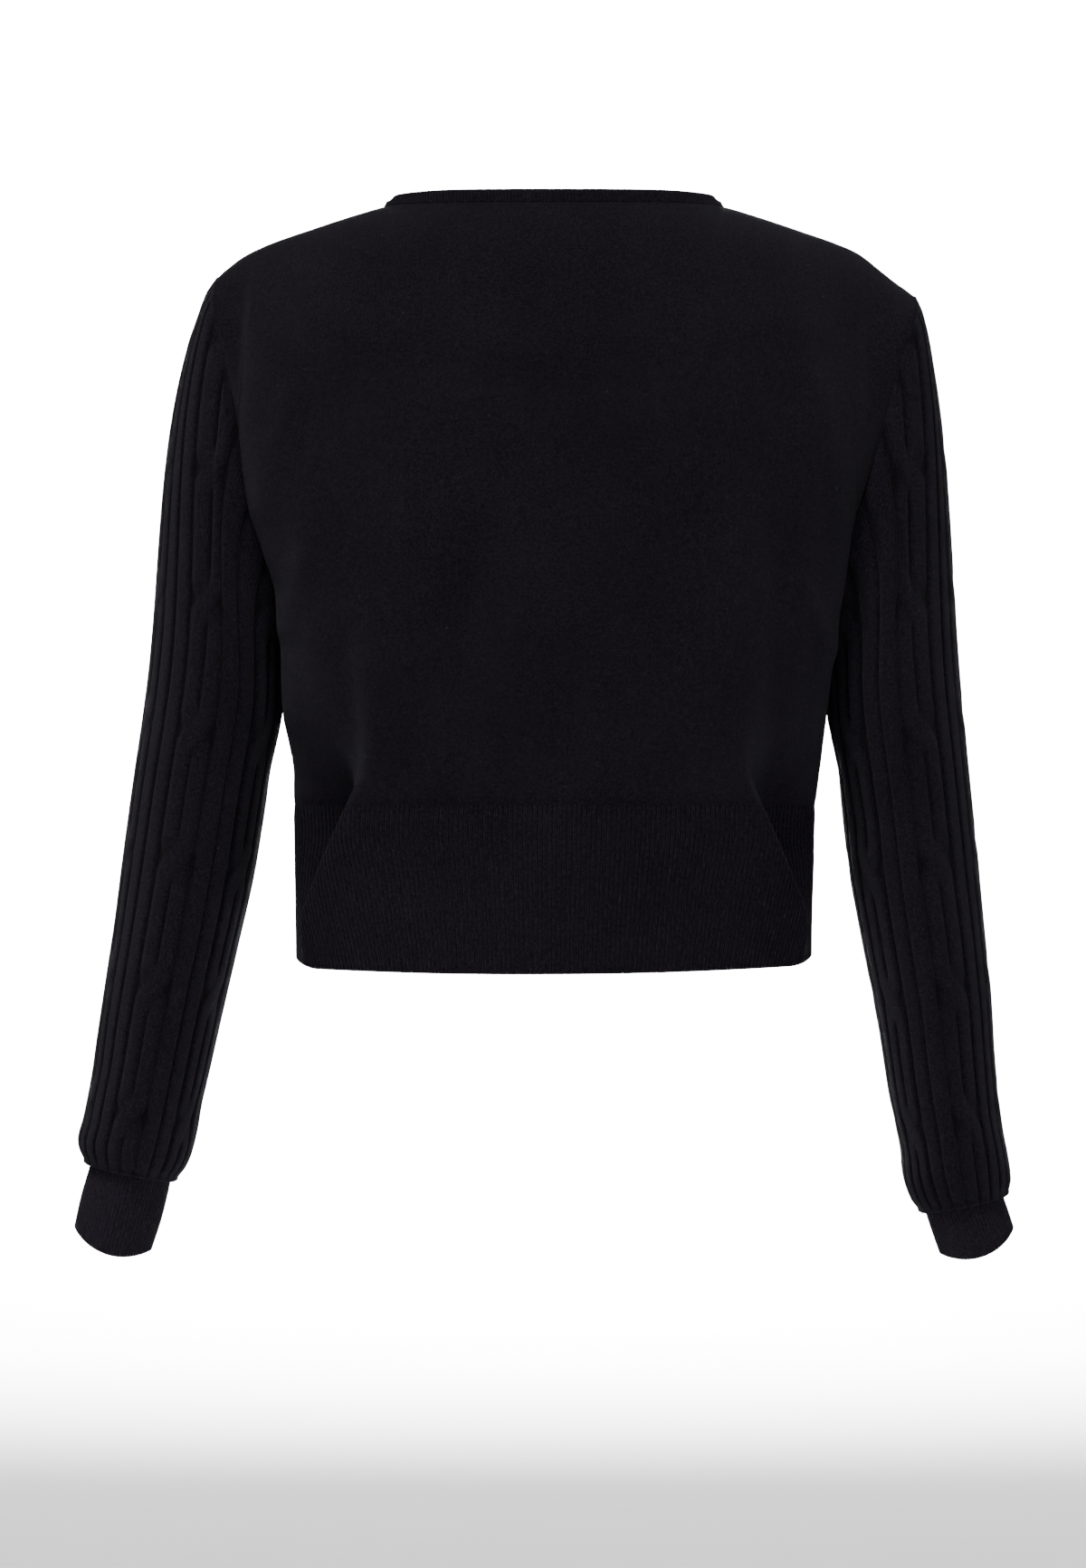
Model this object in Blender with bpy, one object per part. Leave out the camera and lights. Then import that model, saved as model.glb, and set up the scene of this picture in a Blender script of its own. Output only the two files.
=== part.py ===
"""Cropped knit cardigan, filled out as worn: jersey body, cable-and-rib sleeves, ribbed trims.

Frame: +Z up, the back of the garment faces +Y and the wearer's left is +X.  The origin is the
middle of the neck opening, level with the highest points of the shoulders.  Sizes are in
millimetres, and "drop" is the distance below the origin; a mesh is made in metres.

Every cloth piece is a wall between an outer grid of points and an inner one.  The body's rings
run through six guide points on each side: centre, middle, ridge, valley, side fold and side seam.
"""
from collections import namedtuple

import bmesh
import bpy
import numpy as np

MM = 0.001
LEFT = 1
RIGHT = -1
BACK = 1
FRONT = -1

# Levels of the body, as drops below the shoulders.
YOKE_DROP = 135.0
SHOULDER_DROP = 44.0
FRONT_NECK_DROP = 95.0

# Cloth.
SEAM_GAP = 0.3
BODY_CLOTH = 1.6
SLEEVE_CLOTH = 2.0
RIB_CLOTH = 2.4
BAND_CLOTH = 2.0

# Neck.
NECK_HALF_WIDTH = 98.0
NECK_SIDE_DROP = 3.5
NECK_BACK_DROP = 5.0
NECK_BACK_Y = 52.0
FRONT_NECK_Y = 84.0
BACK_NECK_ROUNDNESS = 0.9
FRONT_NECK_ROUNDNESS = 0.45
NECK_BAND_HEIGHT = 7.2
NECK_BAND_ROWS = (0.0, 0.5, 1.0)
UPRIGHT_AT_Y = (-80.0, 0.0, NECK_BACK_Y)
UPRIGHT_SHARE = (0.15, 0.45, 0.85)

# Front closing.
BAND_WIDTH = 18.0
OVER_BAND_RISE = 1.2
UNDER_BAND_SINK = 1.1
BUTTON_COUNT = 6
BUTTON_RADIUS = 5.5
BUTTON_THICKNESS = 2.2
BUTTON_SEGMENTS = 16
BUTTON_TOP_SHARE = 0.92
BUTTON_RIM = 1.2
BUTTON_DISH_SLOPE = 0.5
BUTTON_DISH_DEPTH = 0.6
FIRST_BUTTON_DROP = 104.0
LAST_BUTTON_DROP = 425.0

# Sleeves: columns of knitting round the sleeve, in repeats of two ribs and a two-strand cable.
SLEEVE_COLUMNS = 24
COLUMN_REPEAT = 4
CABLE_START = 4.5
RIB_HEIGHT = 1.7
CROSSING_SPACING = 74.0
CROSSING_LENGTH = 26.0
CROSSING_RISE = 0.9
STRAND_HALF_WIDTH = 0.5
CROSSING_SPREAD = 0.3
BAR_SQUARENESS = 4
SEAM_FADE = 14.0
HEAD_ROWS = 8
COLUMN_SAMPLES = (-0.5, -0.24, 0.24)

Section = namedtuple(
    "Section", "drop centre_y ridge_x ridge_y valley_x valley_y side_left side_right side_y seam_x"
)
BACK_SECTIONS = (
    Section(439, 96, 138, 49, 145, 34, 147.5, 147.5, 17, 148),
    Section(408, 94, 141, 57, 139, 40, 147.5, 147.5, 18, 148),
    Section(383, 92, 132, 70, 126, 46, 147.5, 148, 18, 148),
    Section(347, 90, 116, 84, 111, 53, 148, 149, 18, 147),
    Section(325, 92, 106, 89, 121, 61, 148.5, 152, 24, 146),
    Section(297, 94, 100, 92, 130, 69, 154, 155, 36, 145),
    Section(260, 95, 98, 92, 134, 74, 155, 159, 47, 142),
    Section(238, 95, 98, 92, 135, 76, 156.5, 162, 50, 145),
    Section(220, 95, 98, 92, 136, 77, 159, 165, 52, 150),
    Section(192, 95, 98, 92, 139, 79, 169, 168, 54, 160),
    Section(156, 94, 98, 90, 142, 78, 176, 170.5, 55, 174),
    Section(121, 91, 98, 87, 142, 75, 177.5, 171.5, 55, 182),
)
FRONT_SECTIONS = (
    Section(439, 97, 138, 47, 145, 32, 147.5, 147.5, 16, 148),
    Section(408, 97, 140, 56, 140, 40, 147, 147, 18, 148),
    Section(383, 97, 131, 68, 130, 48, 146.5, 146.5, 20, 148),
    Section(347, 98, 118, 80, 120, 55, 146, 146, 22, 147),
    Section(325, 100, 108, 86, 126, 62, 147, 147, 27, 146),
    Section(297, 104, 102, 90, 130, 68, 150, 150, 36, 145),
    Section(260, 108, 98, 92, 132, 73, 152, 153, 45, 142),
    Section(238, 110, 97, 92, 133, 74, 153, 155, 48, 145),
    Section(192, 109, 96, 90, 136, 74, 163, 162, 51, 160),
    Section(156, 104, 101, 84, 139, 71, 169, 166, 52, 174),
    Section(121, 96, 106, 77, 140, 67, 172, 168, 52, 182),
)
PANEL_DROPS = (347, 336, 325, 311, 297, 279, 260, 249)
RIB_DROPS = (439, 424, 408, 383, 364, 347)
GUIDE_STEPS = (3, 2, 2, 3, 2)
NECK_GUIDES = 2
MIDDLE_SHARE = 0.52
MIDDLE_DEPTH_SHARE = 0.2
NECK_EDGE_LEAN = 35.0
SHARP_ANGLE = 50.0
SHOULDER_AXIS_DROP = 60.0

# Soft ridges that fan out down the back, from below the shoulder blades to the ribbed hem.
Fold = namedtuple("Fold", "top_x top_drop low_x low_drop half_width height")
FOLD_FADE = 0.35
FULL_DEPTH_Y = 80.0
BACK_FOLDS = (
    Fold(88, 205, 104, 345, 17, 3.0),
    Fold(20, 250, 36, 350, 16, 2.4),
    Fold(-8, 120, -2, 240, 18, 2.0),
    Fold(-38, 255, -58, 352, 17, 2.8),
    Fold(-88, 165, -114, 340, 18, 3.2),
)

# Shoulder line seen from behind: how far it has dropped at each distance from the centre.
ShoulderPoint = namedtuple("ShoulderPoint", "x drop")
SHOULDER_LINE = (
    ShoulderPoint(98, 3.5),
    ShoulderPoint(115, 8.5),
    ShoulderPoint(130, 13.5),
    ShoulderPoint(145, 18.5),
    ShoulderPoint(166, 26),
    ShoulderPoint(183, 35),
    ShoulderPoint(193, 44),
    ShoulderPoint(207, 55),
)

# Left armhole seam at the back, from the shoulder to the underarm.  One corner of the seam to
# each column of knitting, and the front has the same corners in mirror image.
ArmholePoint = namedtuple("ArmholePoint", "corner x y drop")
ARMHOLE = (
    ArmholePoint(0, 193, 0, SHOULDER_DROP),
    ArmholePoint(3, 194, 27, 53),
    ArmholePoint(5, 192.5, 39, 71),
    ArmholePoint(6, 186.5, 44, 99),
    ArmholePoint(7, 179.5, 46, 135),
    ArmholePoint(8, 170.5, 44, 173),
    ArmholePoint(9, 160.5, 37, 203),
    ArmholePoint(10, 154, 27, 223.5),
    ArmholePoint(11, 149.5, 14, 234.5),
    ArmholePoint(12, 146, 0, 238),
)
YOKE_CORNER = 7
UNDERARM_CORNER = 12

# The right sleeve hangs a little further out than the left one, and its shoulder has slipped
# down: how far out its seam lies at some drops of the left seam.
SHIFT_DROPS = (44.0, 137.0, 238.0)
ARMHOLE_SHIFT = {LEFT: (0.0, 0.0, 0.0), RIGHT: (14.0, 6.0, 2.0)}
SHOULDER_SLIP = {LEFT: 0.0, RIGHT: 11.0}
CAP_FLARE = {LEFT: 0.42, RIGHT: 0.2}
UNDERARM_FLARE = 0.75
RIM_SMOOTHING = 3
SEAM_COLUMN_SHIFT = 0.5
COLUMN_SHIFT = {LEFT: 0.0, RIGHT: -0.5}
CROSSING_START = {LEFT: 38.0, RIGHT: 52.0}

# Sleeve sections below the armhole, from the outermost to the innermost point of each.
Ring = namedtuple("Ring", "out_x out_drop in_x in_drop half_depth mid_y")
SLEEVE_RINGS = {
    LEFT: (
        Ring(235.6, 290, 157, 301, 46, 0),
        Ring(241.8, 332, 164.8, 344, 46, -1),
        Ring(247.5, 373, 172, 387, 46, -2),
        Ring(253, 415, 181.7, 429.5, 45, -4),
        Ring(259.5, 457, 191.6, 472, 44, -6),
        Ring(266, 498, 201, 514, 43, -8),
        Ring(271, 526, 205.4, 536, 42, -9),
        Ring(274.3, 539, 209.3, 550, 40, -10),
        Ring(272.5, 548, 214, 559, 35, -10),
    ),
    RIGHT: (
        Ring(235, 290, 158, 303, 46, 0),
        Ring(239.2, 332, 164.3, 344, 46, -1),
        Ring(243.4, 373, 169.9, 387, 46, -2),
        Ring(247.5, 415, 177.8, 429.5, 45, -4),
        Ring(251.7, 457, 186.2, 472, 44, -6),
        Ring(254.5, 498, 192.9, 514, 43, -8),
        Ring(258.5, 530, 198.4, 541, 42, -9),
        Ring(262.5, 553, 200.7, 561, 40, -10),
        Ring(263.5, 564, 205, 573, 35, -10),
    ),
}
RING_STEPS = (2, 2, 2, 2, 2, 1, 1, 1, 1)
CUFF_RINGS = {
    LEFT: (
        Ring(266.5, 550, 221.5, 559.5, 27.5, -10),
        Ring(267.2, 554, 220.8, 563.5, 28, -10),
        Ring(272.5, 572, 225.5, 584, 28, -10.5),
        Ring(276.5, 590, 232, 604, 27, -11),
    ),
    RIGHT: (
        Ring(254, 555.5, 208.5, 565.5, 27.5, -10),
        Ring(259, 572, 214, 581.5, 28, -10),
        Ring(262.3, 581.5, 218, 593.5, 28, -10.5),
        Ring(265.2, 590.5, 222.5, 606, 27, -11),
    ),
}
CUFF_JOIN_ROW = 1
CUFF_COLUMNS = 24
ELLIPSE_SAMPLES = 721
ARMHOLE_AXIS = np.array([0.96, 0.0, -0.28])


# ---------------------------------------------------------------- curves and grids

def unit(vectors):
    """Vectors scaled to length one."""
    return vectors / np.linalg.norm(vectors, axis=-1, keepdims=True)


def hermite(p0, t0, p1, t1, w):
    """Cubic curve from p0 to p1 that leaves and arrives along t0 and t1."""
    w2 = w * w
    w3 = w2 * w
    start = (2 * w3 - 3 * w2 + 1) * p0 + (w3 - 2 * w2 + w) * t0
    return start + (3 * w2 - 2 * w3) * p1 + (w3 - w2) * t1


def smooth_values(knots, values, at):
    """Values read from a smooth curve through a table; knots rise from first to last."""
    knots = np.asarray(knots, float)
    values = np.asarray(values, float)
    slopes = np.gradient(values, knots, axis=0)
    at = np.clip(np.asarray(at, float), knots[0], knots[-1])
    i = np.clip(np.searchsorted(knots, at, side="right") - 1, 0, len(knots) - 2)
    span = knots[i + 1] - knots[i]
    w = (at - knots[i]) / span
    if values.ndim > 1:
        w = w[..., None]
        span = span[..., None]
    return hermite(values[i], slopes[i] * span, values[i + 1], slopes[i + 1] * span, w)


def smooth_line(points, steps, before=None, after=None):
    """Smooth line through points, with steps[i] intervals between point i and the next.

    before and after are points past the two ends that set the direction there.
    """
    points = np.asarray(points, float)
    first = 2 * points[0] - points[1] if before is None else np.asarray(before, float)
    last = 2 * points[-1] - points[-2] if after is None else np.asarray(after, float)
    path = np.vstack([first, points, last])
    chord = np.linalg.norm(np.diff(path, axis=0), axis=1)
    knots = np.concatenate([[0.0], np.cumsum(np.sqrt(chord))])
    slopes = np.gradient(path, knots, axis=0)
    line = []
    for i, count in enumerate(steps, start=1):
        w = (np.arange(count) / count)[:, None]
        span = knots[i + 1] - knots[i]
        line.append(hermite(path[i], slopes[i] * span, path[i + 1], slopes[i + 1] * span, w))
    line.append(points[-1:])
    return np.vstack(line)


def column(table, name):
    """One named column of a table, as an array."""
    return np.array([getattr(row, name) for row in table], float)


def grid_normals(grid, closed):
    """Unit normals of a grid of points; closed grids join their last column to the first."""
    if closed:
        across = np.roll(grid, -1, axis=1) - np.roll(grid, 1, axis=1)
    else:
        across = np.gradient(grid, axis=1)
    along = np.gradient(grid, axis=0)
    return unit(np.cross(across, along))


def smoothed(directions, closed):
    """Directions along a seam, evened out with their neighbours."""
    for _ in range(RIM_SMOOTHING):
        before = np.roll(directions, 1, axis=0)
        after = np.roll(directions, -1, axis=0)
        if not closed:
            before[0] = directions[0]
            after[-1] = directions[-1]
        directions = unit(before + 2 * directions + after)
    return directions


def facing(normals, grid, centre):
    """Normals turned, all together, to point away from a line of centres."""
    outward = np.sum(normals * (grid - centre), axis=-1)
    return normals if outward.sum() > 0 else -normals


# ---------------------------------------------------------------- meshes

def cloth_material(name, colour, roughness):
    """Plain Principled material."""
    material = bpy.data.materials.new(name)
    material.use_nodes = True
    shader = material.node_tree.nodes["Principled BSDF"]
    shader.inputs["Base Color"].default_value = (*colour, 1.0)
    shader.inputs["Roughness"].default_value = roughness
    shader.inputs["Metallic"].default_value = 0.0
    return material


def rim_faces(outer, inner, closed):
    """Faces that close a wall between an outer row of vertices and a coarser inner row."""
    segments = len(inner) if closed else len(inner) - 1
    outer_segments = len(outer) if closed else len(outer) - 1
    ratio = outer_segments // segments
    half = ratio // 2
    faces = []
    for j in range(segments):
        edge = [outer[(ratio * j + k) % len(outer)] for k in range(ratio + 1)]
        here = inner[j]
        there = inner[(j + 1) % len(inner)]
        faces += [(here, edge[k], edge[k + 1]) for k in range(half)]
        faces.append((here, edge[half], edge[half + 1], there))
        faces += [(there, edge[k], edge[k + 1]) for k in range(half + 1, ratio)]
    return faces


def sheet_faces(index, closed, places):
    """Triangles of a grid of vertex numbers, each cell cut along its shorter diagonal.

    places gives the points that decide the diagonals, so that the two sides of a wall agree.
    """
    columns = index.shape[1] if closed else index.shape[1] - 1
    faces = []
    for r in range(index.shape[0] - 1):
        for c in range(columns):
            d = (c + 1) % index.shape[1]
            ring = (index[r, c], index[r, d], index[r + 1, d], index[r + 1, c])
            first = np.linalg.norm(places[r, c] - places[r + 1, d])
            second = np.linalg.norm(places[r, d] - places[r + 1, c])
            k = 0 if first <= second else 1
            faces.append((ring[k], ring[k + 1], ring[k + 2]))
            faces.append((ring[k], ring[k + 2], ring[(k + 3) % 4]))
    return faces


def add_wall(name, outer, inner, material, collection, closed=False):
    """One closed solid between an outer grid and an inner grid of points in millimetres."""
    outer_index = np.arange(outer.shape[0] * outer.shape[1]).reshape(outer.shape[:2])
    inner_index = outer_index.size + np.arange(inner.shape[0] * inner.shape[1]).reshape(inner.shape[:2])
    same = outer.shape == inner.shape
    faces = sheet_faces(outer_index, closed, outer)
    faces += sheet_faces(inner_index, closed, outer if same else inner)
    faces += rim_faces(outer_index[0], inner_index[0], closed)
    faces += rim_faces(outer_index[-1], inner_index[-1], closed)
    if not closed:
        faces += rim_faces(outer_index[:, 0], inner_index[:, 0], False)
        faces += rim_faces(outer_index[:, -1], inner_index[:, -1], False)
    points = np.vstack([outer.reshape(-1, 3), inner.reshape(-1, 3)]) * MM
    mesh = bpy.data.meshes.new(name)
    mesh.from_pydata(points.tolist(), [], [tuple(int(v) for v in face) for face in faces])
    shell = bmesh.new()
    shell.from_mesh(mesh)
    bmesh.ops.recalc_face_normals(shell, faces=shell.faces)
    shell.to_mesh(mesh)
    shell.free()
    mesh.shade_smooth()
    mesh.set_sharp_from_angle(angle=np.radians(SHARP_ANGLE))
    mesh.materials.append(material)
    return link(bpy.data.objects.new(name, mesh), collection)


def link(obj, collection):
    """Put an object in the garment's collection."""
    collection.objects.link(obj)
    return obj


# ---------------------------------------------------------------- armholes

def armhole_loop(side):
    """Corners of an armhole seam: shoulder, down the back, underarm and up the front."""
    knots = column(ARMHOLE, "corner")
    back = np.array([[p.x, p.y, -p.drop] for p in ARMHOLE], float)
    front = back[1:-1][::-1] * [1, -1, 1]
    loop = np.vstack([back, front])
    loop_knots = np.concatenate([knots, SLEEVE_COLUMNS - knots[1:-1][::-1]])
    loop = np.vstack([loop[-2:], loop, loop[:3]])
    loop_knots = np.concatenate(
        [loop_knots[-2:] - SLEEVE_COLUMNS, loop_knots, loop_knots[:3] + SLEEVE_COLUMNS]
    )
    points = smooth_values(loop_knots, loop, np.arange(SLEEVE_COLUMNS))
    height = np.clip((points[:, 2] + YOKE_DROP) / (YOKE_DROP - SHOULDER_DROP), 0, 1)
    points[:, 0] += np.interp(-points[:, 2], SHIFT_DROPS, ARMHOLE_SHIFT[side])
    points[:, 0] *= side
    points[:, 2] -= SHOULDER_SLIP[side] * height ** 2
    return points


def on_loop(values, corners):
    """Values read along straight runs between the corners of an armhole."""
    closed = np.vstack([values, values[:1]])
    places = np.mod(corners, len(values))
    knots = np.arange(len(values) + 1)
    return np.stack([np.interp(places, knots, closed[:, k]) for k in range(3)], axis=-1)


def corners_of(face):
    """Armhole corners on one face, in rows from the underarm up to the shoulder."""
    rows = np.arange(UNDERARM_CORNER, -1, -1)
    return rows if face == BACK else (SLEEVE_COLUMNS - rows) % SLEEVE_COLUMNS


def armhole_axis(side):
    """Direction from the body into the sleeve, square to the armhole."""
    return ARMHOLE_AXIS * [side, 1, 1]


def shared_rims(own, other):
    """Thickness directions where two cloths meet along a seam.

    Each cloth leans halfway to the other, unless the two lie back to back.
    """
    alike = np.sum(own * other, axis=-1, keepdims=True)
    return unit(own + np.clip(0.5 + alike, 0, 1) * other)


# ---------------------------------------------------------------- body rings

def fold_rise(x, drop):
    """How far the soft ridges push the back out at a place."""
    rise = np.zeros_like(x)
    for fold in BACK_FOLDS:
        w = (drop - fold.top_drop) / (fold.low_drop - fold.top_drop)
        reach = np.clip(np.minimum(w + FOLD_FADE, 1 + FOLD_FADE - w) / FOLD_FADE, 0, 1)
        middle = fold.top_x + (fold.low_x - fold.top_x) * w
        rise += fold.height * reach * np.exp(-((x - middle) / fold.half_width) ** 2)
    return rise


def guides_at(face, side, drop, edge):
    """Six guide points of a half ring at a drop, from the centre to the side seam or armhole."""
    table = sorted(BACK_SECTIONS if face == BACK else FRONT_SECTIONS)
    drops = column(table, "drop")
    row = {name: float(smooth_values(drops, column(table, name), drop)) for name in Section._fields}
    side_x = row["side_left"] if side == LEFT else row["side_right"]
    start_x = 0.0 if face == BACK else BAND_WIDTH / 2
    flat = [
        (start_x, row["centre_y"]),
        (
            start_x + MIDDLE_SHARE * (row["ridge_x"] - start_x),
            row["centre_y"] + MIDDLE_DEPTH_SHARE * (row["ridge_y"] - row["centre_y"]),
        ),
        (row["ridge_x"], row["ridge_y"]),
        (row["valley_x"], row["valley_y"]),
        (side_x, row["side_y"]),
        (row["seam_x"], 0.0),
    ]
    points = np.array([[side * x, face * y, -drop] for x, y in flat])
    if edge is not None:
        points[-1] = edge
    return points


def half_ring(face, side, drop, edge=None):
    """Points of a half ring from the centre to the side seam, or to a given armhole point."""
    guides = guides_at(face, side, drop, edge)
    before = guides[1] * [-1, 1, 1]
    if face == FRONT:
        before[0] += side * BAND_WIDTH
    after = guides[-2] * [1, -1, 1] if edge is None else None
    ring = smooth_line(guides, GUIDE_STEPS, before, after)
    if face == BACK:
        ring[:, 1] += fold_rise(ring[:, 0], drop) * np.clip(ring[:, 1] / FULL_DEPTH_Y, 0, 1)
    return ring


def neckline_point(face, side, w):
    """Neck seam, from the centre at w = 0 to the shoulder at w = 1."""
    angle = w * np.pi / 2
    start_x = 0.0 if face == BACK else BAND_WIDTH / 2
    x = start_x + (NECK_HALF_WIDTH - start_x) * np.sin(angle)
    if face == BACK:
        y = NECK_BACK_Y * np.cos(angle) ** BACK_NECK_ROUNDNESS
        drop = NECK_SIDE_DROP + (NECK_BACK_DROP - NECK_SIDE_DROP) * np.cos(angle) ** 2
    else:
        y = -FRONT_NECK_Y * np.cos(angle) ** FRONT_NECK_ROUNDNESS
        drop = NECK_SIDE_DROP + (FRONT_NECK_DROP - NECK_SIDE_DROP) * np.cos(angle)
    return np.array([side * x, y, -drop])


def shoulder_point(side, w):
    """Shoulder seam, from the neck at w = 0 to the armhole at w = 1."""
    tip = armhole_loop(side)[0]
    x = NECK_HALF_WIDTH + (abs(tip[0]) - NECK_HALF_WIDTH) * w
    line_drop = float(smooth_values(column(SHOULDER_LINE, "x"), column(SHOULDER_LINE, "drop"), x))
    tip_drop = float(smooth_values(column(SHOULDER_LINE, "x"), column(SHOULDER_LINE, "drop"), abs(tip[0])))
    drop = line_drop + (-tip[2] - tip_drop) * w ** 2
    return np.array([side * x, 0.0, -drop])


def top_edge(face, side):
    """Upper edge of a half panel: neck seam to the shoulder, then shoulder seam to the armhole."""
    neck_count = sum(GUIDE_STEPS[:NECK_GUIDES])
    shoulder_count = sum(GUIDE_STEPS[NECK_GUIDES:])
    points = [neckline_point(face, side, k / neck_count) for k in range(neck_count)]
    points += [shoulder_point(side, k / shoulder_count) for k in range(shoulder_count + 1)]
    return np.array(points)


def yoke_rows(face, side, start):
    """Rows from the yoke level up over the shoulder: quarter-ellipse rises to the top edge.

    Height goes with the sine and depth with the cosine of an angle that reaches 90 degrees on
    the shoulder seam and less at the back of the neck, where the cloth still slopes.
    """
    top = top_edge(face, side)
    loop = armhole_loop(side)
    last_angle = np.radians(90 - NECK_EDGE_LEAN * np.clip(face * top[:, 1] / NECK_BACK_Y, 0, 1))
    rows = []
    for k, corner in enumerate(corners_of(face)[-YOKE_CORNER:], start=1):
        angle = last_angle * k / YOKE_CORNER
        up = np.sin(angle) / np.sin(last_angle)
        out = (np.cos(angle) - np.cos(last_angle)) / (1 - np.cos(last_angle))
        row = start + (top - start) * up[:, None]
        row[:, 0] = start[:, 0] + (top[:, 0] - start[:, 0]) * k / YOKE_CORNER
        row[:, 1] = top[:, 1] + (start[:, 1] - top[:, 1]) * out
        row[-1] = loop[corner]
        rows.append(row)
    return np.array(rows)


def half_panel(face, side):
    """Outer grid of a half panel, rows from the ribbed hem up, columns from the centre out."""
    loop = armhole_loop(side)
    lower = [half_ring(face, side, float(drop)) for drop in PANEL_DROPS]
    armhole = [loop[corner] for corner in corners_of(face)[:-YOKE_CORNER]]
    middle = [half_ring(face, side, float(-edge[2]), edge) for edge in armhole]
    return np.concatenate([np.array(lower + middle), yoke_rows(face, side, middle[-1])])


def half_panel_normals(face, side, grid):
    """Thickness directions of a half panel, with shared ones along all seams but the armhole."""
    centre = np.zeros_like(grid)
    centre[..., 2] = np.minimum(grid[..., 2], -SHOULDER_AXIS_DROP)
    rims = facing(grid_normals(grid, False), grid, centre)
    rims[:, 0] = unit(rims[:, 0] * [0, 1, 1])
    rims[0] = unit(rims[0] * [1, 1, 0])
    rims[: len(PANEL_DROPS) + 1, -1] = [side, 0, 0]
    first = sum(GUIDE_STEPS[:NECK_GUIDES])
    slope = np.gradient(grid[-1, first:], axis=0)
    level = unit(np.stack([-slope[:, 2], 0 * slope[:, 0], slope[:, 0]], axis=-1))
    rims[-1, first:] = level * np.sign(level[:, 2:3])
    return rims


def seamed(face, side, grid):
    """Grid of a half panel or half hem with its seam edges drawn back by half the seam gap."""
    gap = SEAM_GAP / 2
    moved = grid.copy()
    if len(grid) > len(RIB_DROPS):
        first = sum(GUIDE_STEPS[:NECK_GUIDES])
        moved[0, :, 2] += gap
        moved[: len(PANEL_DROPS) + 1, -1, 1] += face * gap
        moved[len(PANEL_DROPS) :, -1] -= armhole_axis(side) * gap
        moved[-1, first:, 1] += face * gap
    else:
        moved[-1, :, 2] -= gap
        moved[:, -1, 1] += face * gap
    if face == FRONT:
        moved[:, 0, 0] += side * gap
    return moved


def joined(halves):
    """One grid from a right half and a left half that share their centre column."""
    return np.concatenate([halves[RIGHT][:, :0:-1], halves[LEFT]], axis=1)


def rib_half(face, side):
    """Outer grid and thickness directions of half of the ribbed hem, bottom edge up."""
    grid = np.array([half_ring(face, side, float(drop)) for drop in RIB_DROPS])
    rims = unit(facing(grid_normals(grid, False), grid, grid * [0, 0, 1]) * [1, 1, 0])
    rims[:, -1] = [side, 0, 0]
    rims[:, 0] = [0, face, 0]
    return grid, rims


def add_panel(name, outer, rims, cloth, material, collection):
    """Cloth wall on an outer grid."""
    return add_wall(name, outer, outer - rims * cloth, material, collection)


def add_hem(material, collection):
    """Ribbed hem in three pieces, one under each panel."""
    back = {side: rib_half(BACK, side) for side in (LEFT, RIGHT)}
    outer = joined({side: seamed(BACK, side, back[side][0]) for side in back})
    rims = joined({side: back[side][1] for side in back})
    add_panel("hem_rib_back", outer, rims, RIB_CLOTH, material, collection)
    for side, label in ((LEFT, "left"), (RIGHT, "right")):
        grid, rims = rib_half(FRONT, side)
        outer = seamed(FRONT, side, grid)
        add_panel("hem_rib_front_" + label, outer, rims, RIB_CLOTH, material, collection)


# ---------------------------------------------------------------- sleeves

def knit_height(place, along, side):
    """Height of the knitting above the grooves, for a place in columns and a length in mm.

    A rib is a rounded flat-topped bar across its column.  A cable is two such strands that
    change places at even steps along the sleeve; the strand in front rises over the other.
    """
    local = np.mod(place - CABLE_START, COLUMN_REPEAT)
    off_middle = np.abs(place - np.round(place))
    rib = 1 - (2 * off_middle) ** BAR_SQUARENESS
    across = local - 1.0
    phase = np.mod(along - CROSSING_START[side] + CROSSING_SPACING / 2, CROSSING_SPACING)
    swing = np.clip((phase - CROSSING_SPACING / 2) / CROSSING_LENGTH, -0.5, 0.5)
    crossing = np.cos(swing * np.pi)
    offset = STRAND_HALF_WIDTH * np.sin(swing * np.pi)
    width = STRAND_HALF_WIDTH + CROSSING_SPREAD * crossing
    front = 1 - np.clip(np.abs(across - offset) / width, 0, 1) ** BAR_SQUARENESS
    behind = 1 - np.clip(np.abs(across + offset) / width, 0, 1) ** BAR_SQUARENESS
    cable = np.maximum(front * (1 + CROSSING_RISE * crossing / RIB_HEIGHT), behind)
    return RIB_HEIGHT * np.where(local < 2, cable, rib)


def ellipse_ring(ring, side, parts, grow=0.0):
    """Points at given parts of the way round a sleeve section, by length of arc.

    The section is an ellipse: part 0 is its outermost point, and it goes to the back first.
    """
    turn = np.linspace(0, 2 * np.pi, ELLIPSE_SAMPLES)
    out = np.array([side * ring.out_x, 0.0, -ring.out_drop])
    inner = np.array([side * ring.in_x, 0.0, -ring.in_drop])
    centre = (out + inner) / 2 + [0, ring.mid_y, 0]
    arm = (out - inner) / 2
    arm *= 1 + grow / np.linalg.norm(arm)
    depth = np.array([0.0, ring.half_depth + grow, 0.0])
    path = centre + np.cos(turn)[:, None] * arm + np.sin(turn)[:, None] * depth
    length = np.concatenate([[0], np.cumsum(np.linalg.norm(np.diff(path, axis=0), axis=1))])
    wanted = np.mod(parts, 1.0) * length[-1]
    return np.stack([np.interp(wanted, length, path[:, k]) for k in range(3)], axis=-1)


def sleeve_places():
    """Places round a sleeve, in columns of knitting: each groove and the shoulders of each bar."""
    return np.array([k + f for k in range(SLEEVE_COLUMNS) for f in COLUMN_SAMPLES])


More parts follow.
